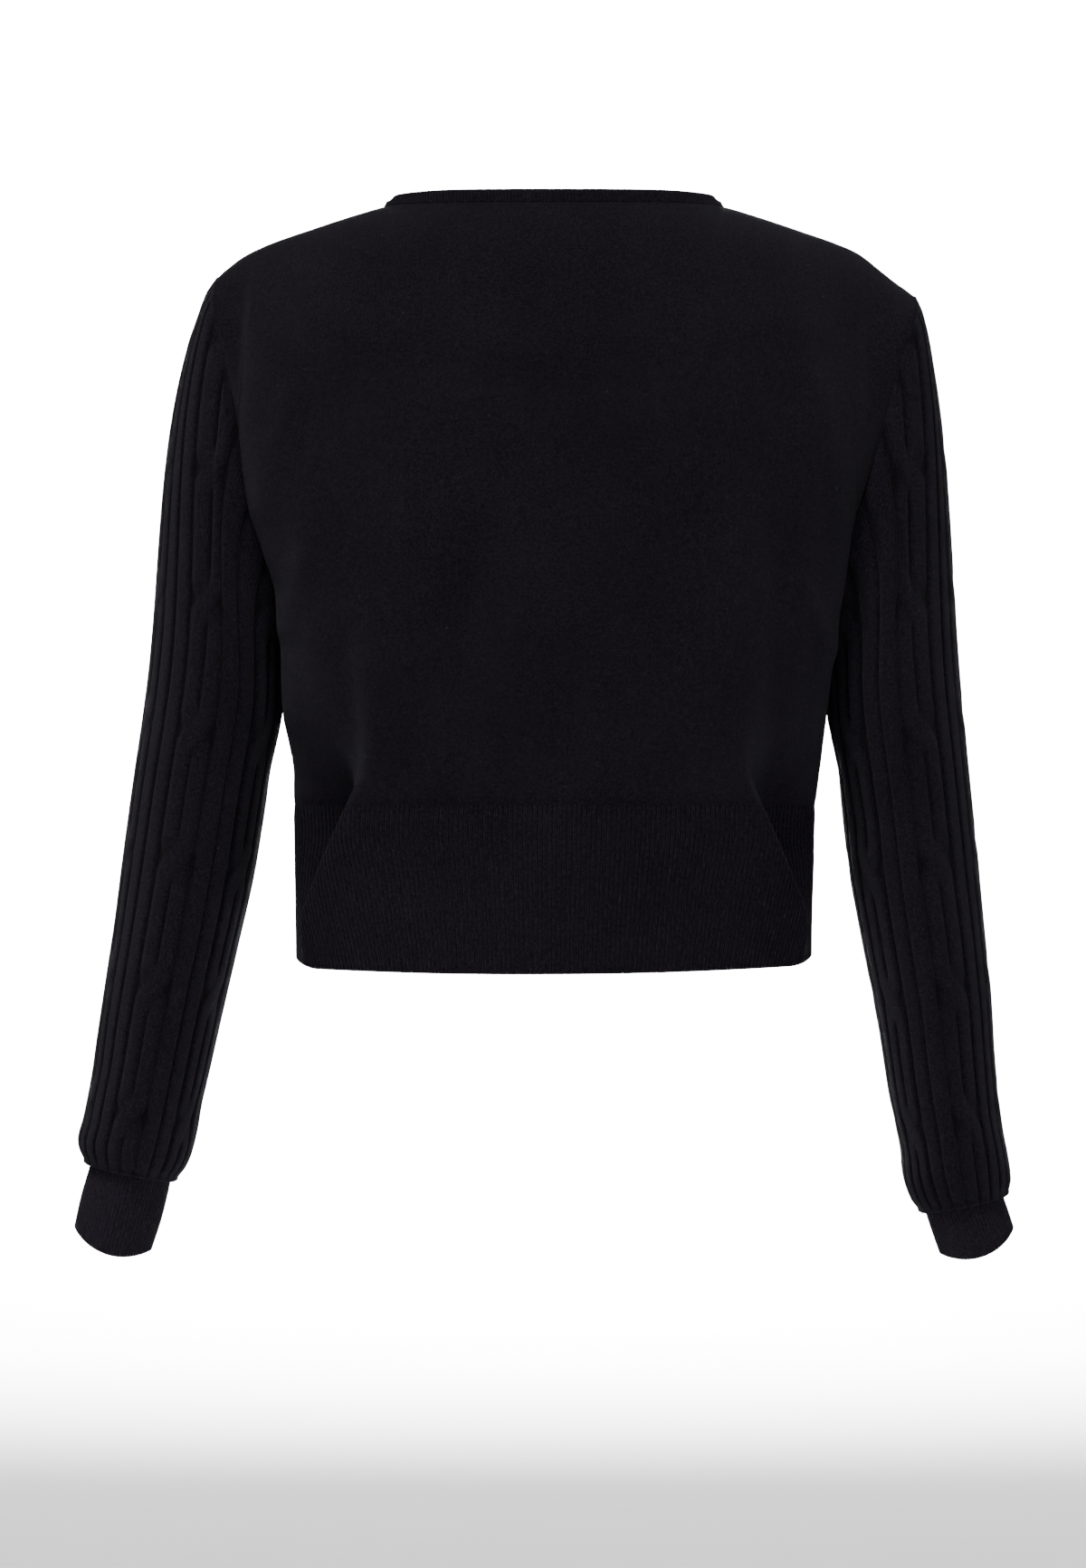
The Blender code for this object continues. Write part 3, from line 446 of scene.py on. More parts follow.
def big_fold_depth(x: Array, drop: float) -> Array:
    """How far the solids' own ridges push the back out at a drop.

    Args:
        x: Distances to the left of the middle.
        drop: Drop of the ring.
    Returns:
        Depth along +Y.
    """
    rise = np.zeros_like(x)
    for fold in BACK_FOLDS:
        w = (drop - fold.top_drop) / (fold.low_drop - fold.top_drop)
        reach = min(w + BIG_FOLD_FADE, 1 + BIG_FOLD_FADE - w) / BIG_FOLD_FADE
        middle = fold.top_x + (fold.low_x - fold.top_x) * w
        rise += fold.height * np.clip(reach, 0, 1) * bell(x - middle, fold.half_width)
    return rise


EDGE_ROWS = (0.1, 0.35, 0.75)
EDGE_SHARE = 0.92


def rounded_edge(
    grid: Array, normals: Array, cloth: float, last: bool
) -> tuple[Array, Array, Array]:
    """Extra rows beside a free edge, and how far each row is drawn in to round it.

    The section of the edge is a half circle as wide as the cloth: at a distance d from it, with
    the radius r, each side is drawn in by r minus the root of r^2 - (r - d)^2.

    Args:
        grid: Outer grid.
        normals: Its thickness directions.
        cloth: Thickness.
        last: Whether the edge is the last row, not the first.
    Returns:
        The new grid, its thickness directions, and the depth of each row.
    """
    if last:
        grid, normals = grid[::-1], normals[::-1]
    radius = cloth / 2
    cell = np.linalg.norm(grid[1] - grid[0], axis=-1).mean()
    places = np.array(EDGE_ROWS) * radius
    w = (places / cell)[:, None, None]
    between = grid[:1] * (1 - w) + grid[1:2] * w
    grid = np.concatenate([grid[:1], between, grid[1:]])
    normals = np.concatenate([normals[:1], normals[:1].repeat(len(places), 0), normals[1:]])
    inset = np.zeros((len(grid), 1))
    distance = np.concatenate([[0.0], places])
    depth = radius - np.sqrt(radius**2 - (radius - distance) ** 2)
    inset[: len(distance), 0] = depth * EDGE_SHARE
    if last:
        return grid[::-1], normals[::-1], inset[::-1]
    return grid, normals, inset


# ---------------------------------------------------------------- meshes

def linked(name: str, data: bpy.types.ID) -> bpy.types.Object:
    """Object of a mesh, light or camera, linked to the scene at the origin.

    Args:
        name: Name of the object.
        data: What it shows.
    Returns:
        The object.
    """
    obj = bpy.data.objects.new(name, data)
    bpy.context.scene.collection.objects.link(obj)
    return obj


def mesh_object(
    name: str, points: Array, faces: Array, places: Array | None, hollow: Array | None = None
) -> bpy.types.Object:
    """Mesh object from arrays, with its faces turned to enclose a positive volume.

    Args:
        name: Name of the piece.
        points: Vertices in metres.
        faces: Triangles.
        places: Texture places of the triangles' corners in metres, or None.
        hollow: How deep each vertex lies between the stitches, 0 to 1, for painted shade, or None.
    Returns:
        The object, linked to the scene, at the origin.
    """
    a, b, c = (points[faces[:, k]] for k in range(3))
    if np.sum(a * np.cross(b, c)) < 0:
        faces = faces[:, ::-1]
        places = None if places is None else places[:, ::-1]
    mesh = bpy.data.meshes.new(name)
    mesh.vertices.add(len(points))
    mesh.vertices.foreach_set("co", points.astype(np.float32).ravel())
    mesh.loops.add(faces.size)
    mesh.loops.foreach_set("vertex_index", np.ascontiguousarray(faces).ravel().astype(np.int32))
    mesh.polygons.add(len(faces))
    mesh.polygons.foreach_set("loop_start", np.arange(0, faces.size, 3, dtype=np.int32))
    mesh.polygons.foreach_set("loop_total", np.full(len(faces), 3, dtype=np.int32))
    mesh.update(calc_edges=True)
    if places is not None:
        layer = mesh.uv_layers.new(name="knit")
        layer.data.foreach_set("uv", np.ascontiguousarray(places).ravel().astype(np.float32))
    if hollow is not None:
        depth = mesh.attributes.new(name="hollow", type="FLOAT", domain="POINT")
        depth.data.foreach_set("value", hollow.astype(np.float32))
    mesh.validate()
    mesh.shade_smooth()
    mesh.set_sharp_from_angle(angle=math.radians(RIM_ANGLE))
    LOG.info("%s: %d triangles", name, len(faces))
    return linked(name, mesh)


def placed(piece: bpy.types.Object, node: str, finish: bpy.types.Material) -> None:
    """Give a finished piece its material and body, and hide the node it stands for.

    Args:
        piece: The piece.
        node: Node that it stands for.
        finish: Its material.
    """
    piece.data.materials.append(finish)
    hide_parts(node)
    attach(piece, BODY)


@dataclass
class Cloth:
    """Closed thin shell of a knitted piece: a detailed outer grid and a plain, coarser inner one.

    The outer side lies at a height over the base along the thickness directions, and the inner
    side at a depth, which is a height too, below 0.  The texture places across and along are
    lengths on the fabric, and hollow is how deep each outer point lies between the stitches; the
    material darkens the colour by it, as painted shade.
    """

    node: str
    slot: str
    finish: bpy.types.Material
    base: Array
    facing: Array
    height: Array
    depth: Array
    across: Array
    along: Array
    hollow: Array
    step: int
    closed: bool = False

    @staticmethod
    def _quads(index: Array, uv: Array) -> tuple[Array, Array]:
        """Quads of a grid as pairs of triangles, with their texture places.

        Args:
            index: Vertex numbers.
            uv: Texture place of each grid point.
        Returns:
            Triangles and the texture places of their corners.
        """
        lo, hi = slice(None, -1), slice(1, None)
        around = ((lo, lo), (lo, hi), (hi, hi), (hi, lo))
        faces, places = [], []
        for turn in ((0, 1, 2), (0, 2, 3)):
            faces.append(np.stack([index[around[k]] for k in turn], -1).reshape(-1, 3))
            places.append(np.stack([uv[around[k]] for k in turn], -2).reshape(-1, 3, 2))
        return np.concatenate(faces), np.concatenate(places)

    @staticmethod
    def _rim(outer: Array, inner: Array, uv: Array) -> tuple[Array, Array]:
        """Triangles between an outer line of vertices and an inner line with fewer.

        Each outer edge is joined to the inner vertex nearest in number, and each inner edge to
        the outer vertex half way along it.

        Args:
            outer: Vertex numbers of the outer line.
            inner: Vertex numbers of the inner line, one for every step outer edges.
            uv: Texture places along the outer line.
        Returns:
            Triangles and the texture places of their corners.
        """
        step = (len(outer) - 1) // (len(inner) - 1)
        half = step // 2
        edge = np.arange(len(outer) - 1)
        near = (edge + step - half) // step
        first = np.stack([inner[near], outer[edge + 1], outer[edge]], -1)
        first_uv = np.stack([uv[edge], uv[edge + 1], uv[edge]], -2)
        k = np.arange(len(inner) - 1)
        mid = k * step + half
        second = np.stack([inner[k], inner[k + 1], outer[mid]], -1)
        second_uv = uv[mid][:, None].repeat(3, 1)
        return np.concatenate([first, second]), np.concatenate([first_uv, second_uv])

    def build(self) -> bpy.types.Object:
        """Make the piece.

        Returns:
            The object, at the origin, with a texture map in metres called knit.
        """
        step = self.step
        outside = self.base + self.facing * self.height[..., None]
        inside = (self.base + self.facing * self.depth[..., None])[::step, ::step]
        outer = np.arange(outside[..., 0].size).reshape(outside.shape[:2])
        inner = np.arange(inside[..., 0].size).reshape(inside.shape[:2]) + outer.size
        ring, inner_ring = outer, inner
        if self.closed:
            ring, inner_ring = (np.concatenate([k, k[:, :1]], axis=1) for k in (outer, inner))
        uv = np.stack(np.broadcast_arrays(self.across, self.along), -1) * MM
        parts = [
            (False, self._quads(ring, uv)),
            (True, self._quads(inner_ring, uv[::step, ::step])),
            (False, self._rim(ring[0], inner_ring[0], uv[0])),
            (True, self._rim(ring[-1], inner_ring[-1], uv[-1])),
        ]
        if not self.closed:
            parts.append((True, self._rim(outer[:, 0], inner[:, 0], uv[:, 0])))
            parts.append((False, self._rim(outer[:, -1], inner[:, -1], uv[:, -1])))
        faces, places = (
            np.concatenate([part[k][:, ::-1] if turned else part[k] for turned, part in parts])
            for k in (0, 1)
        )
        points = np.concatenate([outside.reshape(-1, 3), inside.reshape(-1, 3)]) * MM
        hollow = np.broadcast_to(self.hollow, outer.shape)
        # Inner points are fully hollow: the inner side is darkened as painted shade.
        hollow = np.concatenate([hollow.ravel(), np.ones(inner.size)])
        piece = mesh_object("cloth_" + self.node, points, faces, places, hollow)
        placed(piece, self.node, self.finish)
        return piece


# ---------------------------------------------------------------- shaders

class Value:
    """A number that varies over a surface, for arithmetic with other values and numbers."""

    def __init__(self, shader: "Shader", socket: bpy.types.NodeSocket) -> None:
        """Wrap a node's output in a shader."""
        self.shader = shader
        self.socket = socket

    def _math(self, operation: str, *others: "Value | float", flipped: bool = False) -> "Value":
        """One Math node on this value and others.

        Args:
            operation: Kind of Math node.
            others: Other operands.
            flipped: Whether the first other comes before this value.
        Returns:
            The node's output.
        """
        operands = [self, *others]
        if flipped:
            operands[0], operands[1] = operands[1], operands[0]
        node = self.shader.node("Math", {"operation": operation}, dict(enumerate(operands)))
        return Value(self.shader, node.outputs[0])

    def __add__(self, other: "Value | float") -> "Value":
        """Sum."""
        return self._math("ADD", other)

    def __sub__(self, other: "Value | float") -> "Value":
        """Difference."""
        return self._math("SUBTRACT", other)

    def __rsub__(self, other: float) -> "Value":
        """Difference from a number."""
        return self._math("SUBTRACT", other, flipped=True)

    def __mul__(self, other: "Value | float") -> "Value":
        """Product."""
        return self._math("MULTIPLY", other)

    __radd__ = __add__
    __rmul__ = __mul__

    def fraction(self) -> "Value":
        """Part after the decimal point."""
        return self._math("FRACT")

    def size(self) -> "Value":
        """Absolute value."""
        return self._math("ABSOLUTE")

    def sine(self) -> "Value":
        """Sine of an angle in radians."""
        return self._math("SINE")

    def most(self, other: "Value | float") -> "Value":
        """Larger of two."""
        return self._math("MAXIMUM", other)

    def clamped(self) -> "Value":
        """Value held between 0 and 1."""
        return self.most(0.0)._math("MINIMUM", 1.0)


class Shader:
    """A material being built, with one method for every kind of node."""

    def __init__(self, name: str) -> None:
        """Start a material with a Principled shader.

        Args:
            name: Name of the finish.
        """
        self.material = bpy.data.materials.new(name)
        self.material.use_nodes = True
        self.tree = self.material.node_tree
        self.principled = self.tree.nodes["Principled BSDF"]

    def node(self, kind: str, settings: dict, inputs: dict) -> bpy.types.Node:
        """Add a node.

        Args:
            kind: Node type, without the word that all begin with.
            settings: Properties, set first.
            inputs: Socket name or number to a value or an output socket.
        Returns:
            The node.
        """
        node = self.tree.nodes.new("ShaderNode" + kind)
        for key, value in settings.items():
            setattr(node, key, value)
        self.feed(node, inputs)
        return node

    def feed(self, node: bpy.types.Node, inputs: dict) -> None:
        """Link a node's inputs to outputs, or set their constants.

        Args:
            node: The node.
            inputs: Socket name or number to a value or an output socket.
        """
        for key, value in inputs.items():
            value = value.socket if isinstance(value, Value) else value
            if isinstance(value, bpy.types.NodeSocket):
                self.tree.links.new(value, node.inputs[key])
            else:
                node.inputs[key].default_value = value

    def texture_place(self) -> tuple[Value, Value]:
        """Place on the knit map, in metres.

        Returns:
            Distance across the fabric and along it.
        """
        uv = self.node("UVMap", {"uv_map": "knit"}, {})
        split = self.node("SeparateXYZ", {}, {0: uv.outputs[0]})
        return Value(self, split.outputs[0]), Value(self, split.outputs[1])

    def depth(self) -> Value:
        """How deep a place lies between the stitches, from the mesh's own attribute."""
        # The material paints shade by this depth.
        node = self.node("Attribute", {"attribute_name": "hollow"}, {})
        return Value(self, node.outputs["Fac"])

    def noise(self, scale: float, detail: float, roughness: float = 0.55) -> Value:
        """Noise over the object's own space.

        Args:
            scale: Cells a metre.
            detail: Octaves.
            roughness: Strength of each octave against the last.
        Returns:
            A value about 0.5.
        """
        place = self.node("TexCoord", {}, {}).outputs["Object"]
        inputs = {"Vector": place, "Scale": scale, "Detail": detail, "Roughness": roughness}
        return Value(self, self.node("TexNoise", {}, inputs).outputs[0])

    def mix(
        self, factor: Value, low: tuple | bpy.types.NodeSocket, high: tuple
    ) -> bpy.types.NodeSocket:
        """Colour between two.

        Args:
            factor: 0 for the first colour, 1 for the second.
            low: First colour, or its socket.
            high: Second colour.
        Returns:
            The colour's socket.
        """
        low = (*low, 1) if isinstance(low, tuple) else low
        node = self.node("Mix", {"data_type": "RGBA"}, {0: factor, 6: low, 7: (*high, 1)})
        return node.outputs[2]

    def bump(
        self, height: Value, distance: float, strength: float, **more: bpy.types.NodeSocket
    ) -> bpy.types.NodeSocket:
        """Normal of a raised surface: a Bump node's output, with more inputs by name."""
        inputs = {"Strength": strength, "Distance": distance, "Height": height, **more}
        return self.node("Bump", {}, inputs).outputs[0]


@dataclass(frozen=True)
class KnitFinish:
    """Matte yarn knitted in rows of stitches.

    A stitch is two slanted legs: its height is a half sine across each leg, times a soft wave
    along the legs, whose rows are bent into a V by the distance from the stitch's middle.
    """

    name: str
    colour: tuple
    lit_and_worn_colour: tuple
    stitch_width: float
    stitch_height: float
    bump_depth: float
    # Share by which the hollow values darken the colour: painted shade.
    hollow_share: float = 0.6
    slant: float = 0.9
    yarn_share: float = 0.65
    stitch_light: float = 0.5
    patch_light: float = 0.45
    patch_scale: float = 14.0
    patch_roughness: float = 0.12
    fuzz_light: float = 2.0
    fuzz_scale: float = 720.0
    fuzz_depth: float = 0.0001
    darkness: float = 1.07
    base_roughness: float = 0.84
    sheen: float = 0.035
    sheen_tint: tuple = (0.85, 0.82, 0.92, 1)
    lint_scale: float = 260.0
    lint_level: float = 0.755
    lint_edge: float = 14.0
    lint_share: float = 0.5
    lint_colour: tuple = (0.05, 0.048, 0.05)

    def stitches(self, shader: Shader) -> Value:
        """Height of the stitches, 0 to 1.

        Args:
            shader: Material to build in.
        Returns:
            The height.
        """
        across, along = shader.texture_place()
        column = (across * (1 / self.stitch_width)).fraction()
        off = (column - 0.5).size() * 2
        leg = (off * math.pi).sine().most(0.0)
        row = along * (math.pi / self.stitch_height) + off * (math.pi * self.slant)
        return leg * (row.sine().size() * self.yarn_share + (1 - self.yarn_share))

    def material(self) -> bpy.types.Material:
        """Build the material.

        The colour goes from dark to pale with the height of the stitches, which is partly wear and
        partly painted light on the raised yarn, and with soft patches and fuzz, the yarn's own
        uneven tone; the hollow values take it back to dark as painted shade in the grooves, the
        seam dips and on the inner side.  A few flecks of lint are paler.

        Returns:
            The finished material.
        """
        shader = Shader(self.name)
        height = self.stitches(shader)
        fuzz = shader.noise(self.fuzz_scale, detail=2, roughness=0.85)
        patches = shader.noise(self.patch_scale, detail=2)
        specks = shader.noise(self.lint_scale, detail=2, roughness=0.5)
        lint = ((specks - self.lint_level) * self.lint_edge).clamped()
        # Paler on raised yarn: partly wear, partly painted light. Patches and fuzz: the yarn's own
        # uneven tone.
        light = height * self.stitch_light + patches * self.patch_light + fuzz * self.fuzz_light
        # Darker by the hollow values: painted shade in the grooves, the seam dips and on the inner
        # side.
        shade = (light - self.darkness - shader.depth() * self.hollow_share).clamped()
        yarn = shader.mix(shade, self.colour, self.lit_and_worn_colour)
        fine = shader.bump(fuzz, self.fuzz_depth, strength=0.5)
        inputs = {
            "Base Color": shader.mix(lint * self.lint_share, yarn, self.lint_colour),
            "Roughness": patches * self.patch_roughness + self.base_roughness,
            "Sheen Weight": self.sheen,
            "Sheen Roughness": 0.55,
            "Sheen Tint": self.sheen_tint,
            "Specular IOR Level": 0.03,
            "Normal": shader.bump(height, self.bump_depth, strength=0.85, Normal=fine),
        }
        shader.feed(shader.principled, inputs)
        return shader.material


@dataclass(frozen=True)
class PlasticFinish:
    """Satin button plastic with faint cloudiness and fine scratches in its gloss."""

    name: str
    colour: tuple
    clouded: tuple
    cloud_scale: float = 240.0
    grain_scale: float = 2600.0
    base_roughness: float = 0.28
    cloud_roughness: float = 0.14
    grain_roughness: float = 0.08
    scratch_depth: float = 0.00003

    def material(self) -> bpy.types.Material:
        """Build the material.

        Returns:
            The finished material.
        """
        shader = Shader(self.name)
        cloud = shader.noise(self.cloud_scale, detail=3)
        grain = shader.noise(self.grain_scale, detail=2)
        rough = cloud * self.cloud_roughness + grain * self.grain_roughness
        inputs = {
            "Base Color": shader.mix(cloud, self.colour, self.clouded),
            "Specular IOR Level": 0.22,
            "Roughness": rough + self.base_roughness,
            "Normal": shader.bump(grain, self.scratch_depth, strength=0.3),
        }
        shader.feed(shader.principled, inputs)
        return shader.material


@dataclass(frozen=True)
class StudioFinish:
    """Plain pale paint of the studio floor."""

    name: str
    colour: tuple

    def material(self) -> bpy.types.Material:
        """Build the material.

        Returns:
            The finished material.
        """
        shader = Shader(self.name)
        shader.feed(shader.principled, {"Base Color": (*self.colour, 1), "Roughness": 0.9})
        return shader.material


@dataclass
class Wardrobe:
    """The finishes of the cardigan, made once."""

    jersey: bpy.types.Material
    cable: bpy.types.Material
    rib: bpy.types.Material
    plastic: bpy.types.Material

    @classmethod
    def make(cls) -> "Wardrobe":
        """Build every finish.

        Returns:
            The finishes.
        """
        # The first colour is the yarn's darkest, reached under the painted shade between stitches
        # and ribs; the two paler ones are reached on raised yarn, partly wear and partly painted
        # light, and in patches and fuzz, the yarn's own uneven tone.  The ribbed and cabled yarns
        # reach the paler of the two.
        dark = (0.0027, 0.0021, 0.0035)
        jersey_lit_and_worn = (0.0135, 0.0107, 0.0168)
        rib_lit_and_worn = (0.0158, 0.0128, 0.0194)
        black, cloudy = (0.006, 0.006, 0.007), (0.012, 0.011, 0.013)
        return cls(
            KnitFinish("fine_jersey", dark, jersey_lit_and_worn, 0.00125, 0.00095, 0.00022).material(),
            KnitFinish(
                "cable_knit", dark, rib_lit_and_worn, 0.0018333, 0.0014, 0.0004, hollow_share=0.5
            ).material(),
            KnitFinish(
                "one_by_one_rib", dark, rib_lit_and_worn, 0.00125, 0.0011, 0.0002, hollow_share=0.3
            ).material(),
            PlasticFinish("button_plastic", black, cloudy).material(),
        )


# ---------------------------------------------------------------- body

@dataclass
class SeamPlan:
    """Seam curves that neighbouring pieces share."""

    yoke_corner: int = 7
    shoulder_drop: float = 44.0
    yoke_drop: float = 135.0

    def loop(self, side: Side) -> Array:
        """Corners of an armhole: shoulder, down the back, underarm and up the front.

        Args:
            side: Which armhole.
        Returns:
            One point for each corner.
        """
        knots = np.array([p.at for p in ARMHOLE], float)
        back = np.array([[p.x, p.y, -p.drop] for p in ARMHOLE], float)
        front = back[1:-1][::-1] * [1, -1, 1]
        loop = np.vstack([back, front])
        places = np.concatenate([knots, CORNERS - knots[1:-1][::-1]])
        loop = np.vstack([loop[-2:], loop, loop[:3]])
        places = np.concatenate([places[-2:] - CORNERS, places, places[:3] + CORNERS])
        points = smooth_values(places, loop, np.arange(CORNERS))
        span = self.yoke_drop - self.shoulder_drop
        height = np.clip((points[:, 2] + self.yoke_drop) / span, 0, 1)
        points[:, 0] += np.interp(-points[:, 2], SHIFT_DROPS, ARMHOLE_SHIFT[side])
        points[:, 0] *= side.value
        points[:, 2] -= SHOULDER_SLIP[side] * height**2
        return points

    def loop_at(self, side: Side, places: Array) -> Array:
        """Points of the smooth closed curve through an armhole's corners.

        Args:
            side: Which armhole.
            places: Places counted in corners.
        Returns:
            The points.
        """
        loop = self.loop(side)
        slopes = (np.roll(loop, -1, axis=0) - np.roll(loop, 1, axis=0)) / 2
        places = np.mod(places, CORNERS)
        i = np.floor(places).astype(int) % CORNERS
        j = (i + 1) % CORNERS
        w = (places - np.floor(places))[:, None]
        return hermite(loop[i], slopes[i], loop[j], slopes[j], w)


@dataclass
class BodyForm:
    """Fine grids of the body's half panels and half hems, on the solids' own sections."""

    panel_drops: tuple = (347, 336, 325, 311, 297, 279, 260, 249)
    rib_drops: tuple = (439, 424, 408, 383, 364, 347)
    guide_steps: tuple = (3, 2, 2, 3, 2)
    neck_guides: int = 2
    middle_share: float = 0.52
    middle_sag: float = 0.2
    fold_full_y: float = 80.0
    band_width: float = 18.0
    neck_half_width: float = 98.0
    neck_side_drop: float = 3.5
    neck_back_drop: float = 5.0
    neck_back_y: float = 52.0
    front_neck_y: float = 84.0
    front_neck_drop: float = 95.0
    back_roundness: float = 0.9
    front_roundness: float = 0.45
    neck_edge_lean: float = 35.0
    row_parts: int = 10
    column_parts: int = 8
    hem_row_parts: int = 6
    hem_column_parts: int = 24
    shift_power: float = 1.5
    seams: SeamPlan = field(default_factory=SeamPlan)

    @property
    def neck_columns(self) -> int:
        """Number of coarse columns under the neck seam."""
        return sum(self.guide_steps[: self.neck_guides])

    def start_x(self, face: Face) -> float:
        """Distance from the middle to a half panel's first column."""
        return 0.0 if face is Face.BACK else self.band_width / 2

    def half_ring(self, face: Face, side: Side, drop: float, edge: Array | None = None) -> Array:
        """Coarse points of a half ring at a drop, with the big folds.

        Args:
            face: Back or front.
            side: Left or right.
            drop: Drop of the ring.
            edge: Armhole point that ends the ring, or None at the side seam.
        Returns:
            Points from the centre to the edge.
        """
        rows = np.array(sorted(SECTIONS[face]), float)
        row = Section(*(float(smooth_values(rows[:, 0], column, drop)) for column in rows.T))
        start_x = self.start_x(face)
        flat = [
            (start_x, row.centre_y),
            (start_x + self.middle_share * (row.ridge_x - start_x),
             row.centre_y + self.middle_sag * (row.ridge_y - row.centre_y)),
            (row.ridge_x, row.ridge_y),
            (row.valley_x, row.valley_y),
            (row.side_left if side is Side.LEFT else row.side_right, row.side_y),
            (row.seam_x, 0.0),
        ]
        guides = np.array([[side.value * x, face.value * y, -drop] for x, y in flat])
        if edge is not None:
            guides[-1] = edge
        before = guides[1] * [-1, 1, 1]
        before[0] += side.value * 2 * start_x
        after = guides[-2] * [1, -1, 1] if edge is None else None
        ring = smooth_line(guides, self.guide_steps, before, after)
        if face is Face.BACK:
            rise = big_fold_depth(ring[:, 0], drop)
            ring[:, 1] += rise * np.clip(ring[:, 1] / self.fold_full_y, 0, 1)
        return ring

    def neckline_point(self, face: Face, side: Side, w: float) -> Array:
        """Neck seam: a quarter turn of sine and cosine from the centre to the shoulder.

        Args:
            face: Back or front.
            side: Left or right.
            w: Place from 0 to 1.
        Returns:
            The point.
        """
        sine, cosine = np.sin(w * np.pi / 2), np.cos(w * np.pi / 2)
        x = self.start_x(face) + (self.neck_half_width - self.start_x(face)) * sine
        low = self.neck_side_drop
        if face is Face.BACK:
            y = self.neck_back_y * cosine**self.back_roundness
            drop = low + (self.neck_back_drop - low) * cosine**2
        else:
            y = -self.front_neck_y * cosine**self.front_roundness
            drop = low + (self.front_neck_drop - low) * cosine
        return np.array([side.value * x, y, -drop])

    def shoulder_point(self, side: Side, w: float) -> Array:
        """Shoulder seam, from the neck at w = 0 to the armhole at w = 1.

        Args:
            side: Left or right.
            w: Place from 0 to 1.
        Returns:
            The point.
        """
        tip = self.seams.loop(side)[0]
        xs, drops = [p.x for p in SHOULDER_LINE], [p.drop for p in SHOULDER_LINE]
        x = self.neck_half_width + (abs(tip[0]) - self.neck_half_width) * w
        drop = float(smooth_values(xs, drops, x))
        slip = -tip[2] - float(smooth_values(xs, drops, abs(tip[0])))
        return np.array([side.value * x, 0.0, -drop - slip * w**2])

    def coarse_panel(self, face: Face, side: Side) -> Array:
        """Coarse grid of a half panel, from the ribbed hem up over the shoulder.

        The yoke rises in quarter ellipses: height goes with the sine, depth with the cosine.

        Args:
            face: Back or front.
            side: Left or right.
        Returns:
            Rows by columns of points.
        """
        loop = self.seams.loop(side)
        corners = np.arange(UNDERARM, -1, -1)
        corners = corners if face is Face.BACK else (CORNERS - corners) % CORNERS
        yoke = self.seams.yoke_corner
        rows = [self.half_ring(face, side, float(drop)) for drop in self.panel_drops]
        rows += [self.half_ring(face, side, float(-loop[c][2]), loop[c]) for c in corners[:-yoke]]
        neck = self.neck_columns
        shoulder = sum(self.guide_steps) - neck
        top = [self.neckline_point(face, side, k / neck) for k in range(neck)]
        top = np.array(top + [self.shoulder_point(side, k / shoulder) for k in range(shoulder + 1)])
        start = rows[-1]
        lean = self.neck_edge_lean * np.clip(face.value * top[:, 1] / self.neck_back_y, 0, 1)
        last = np.radians(90 - lean)
        for k, corner in enumerate(corners[-yoke:], start=1):
            angle = last * k / yoke
            up = np.sin(angle) / np.sin(last)
            out = (np.cos(angle) - np.cos(last)) / (1 - np.cos(last))
            row = start + (top - start) * up[:, None]
            row[:, 0] = start[:, 0] + (top[:, 0] - start[:, 0]) * k / yoke
            row[:, 1] = top[:, 1] + (start[:, 1] - top[:, 1]) * out
            row[-1] = loop[corner]
            rows.append(row)
        return np.array(rows)

    def half_panel(self, face: Face, side: Side) -> Array:
        """Fine grid of a half panel, with its seams on the curves that neighbours share.

        Args:
            face: Back or front.
            side: Left or right.
        Returns:
            Rows by columns of points.
        """
        coarse = self.coarse_panel(face, side)
        rows, columns = self.row_parts, self.column_parts
        fine = refined_grid(coarse, rows, columns)
        seam = refined(coarse[: len(self.panel_drops) + 1, -1] * [1, 0, 1], rows)
        above = np.arange(1, UNDERARM * rows + 1) / rows
        places = UNDERARM - above if face is Face.BACK else UNDERARM + above
        edge = np.vstack([seam, self.seams.loop_at(side, places)])
        fade = np.linspace(0, 1, columns + 1) ** self.shift_power
        fine[:, -columns - 1 :] += (edge - fine[:, -1])[:, None] * fade[None, :, None]
        neck = self.neck_columns
        halves = refined(coarse[-1, : neck + 1], columns)[:-1], refined(coarse[-1, neck:], columns)
        fade = np.linspace(0, 1, rows + 1) ** self.shift_power
        fine[-rows - 1 :] += (np.vstack(halves) - fine[-1])[None] * fade[:, None, None]
        fine[-1, -1] = edge[-1]
        return fine

    def half_hem(self, face: Face, side: Side) -> Array:
        """Fine grid of half of the ribbed hem, bottom edge up.

        Args:
            face: Back or front.
            side: Left or right.
        Returns:
            Rows by columns of points.
        """
        coarse = np.array([self.half_ring(face, side, float(drop)) for drop in self.rib_drops])
        fine = refined_grid(coarse, self.hem_row_parts, self.hem_column_parts)
        fine[:, -1, 1] = 0.0
        return fine


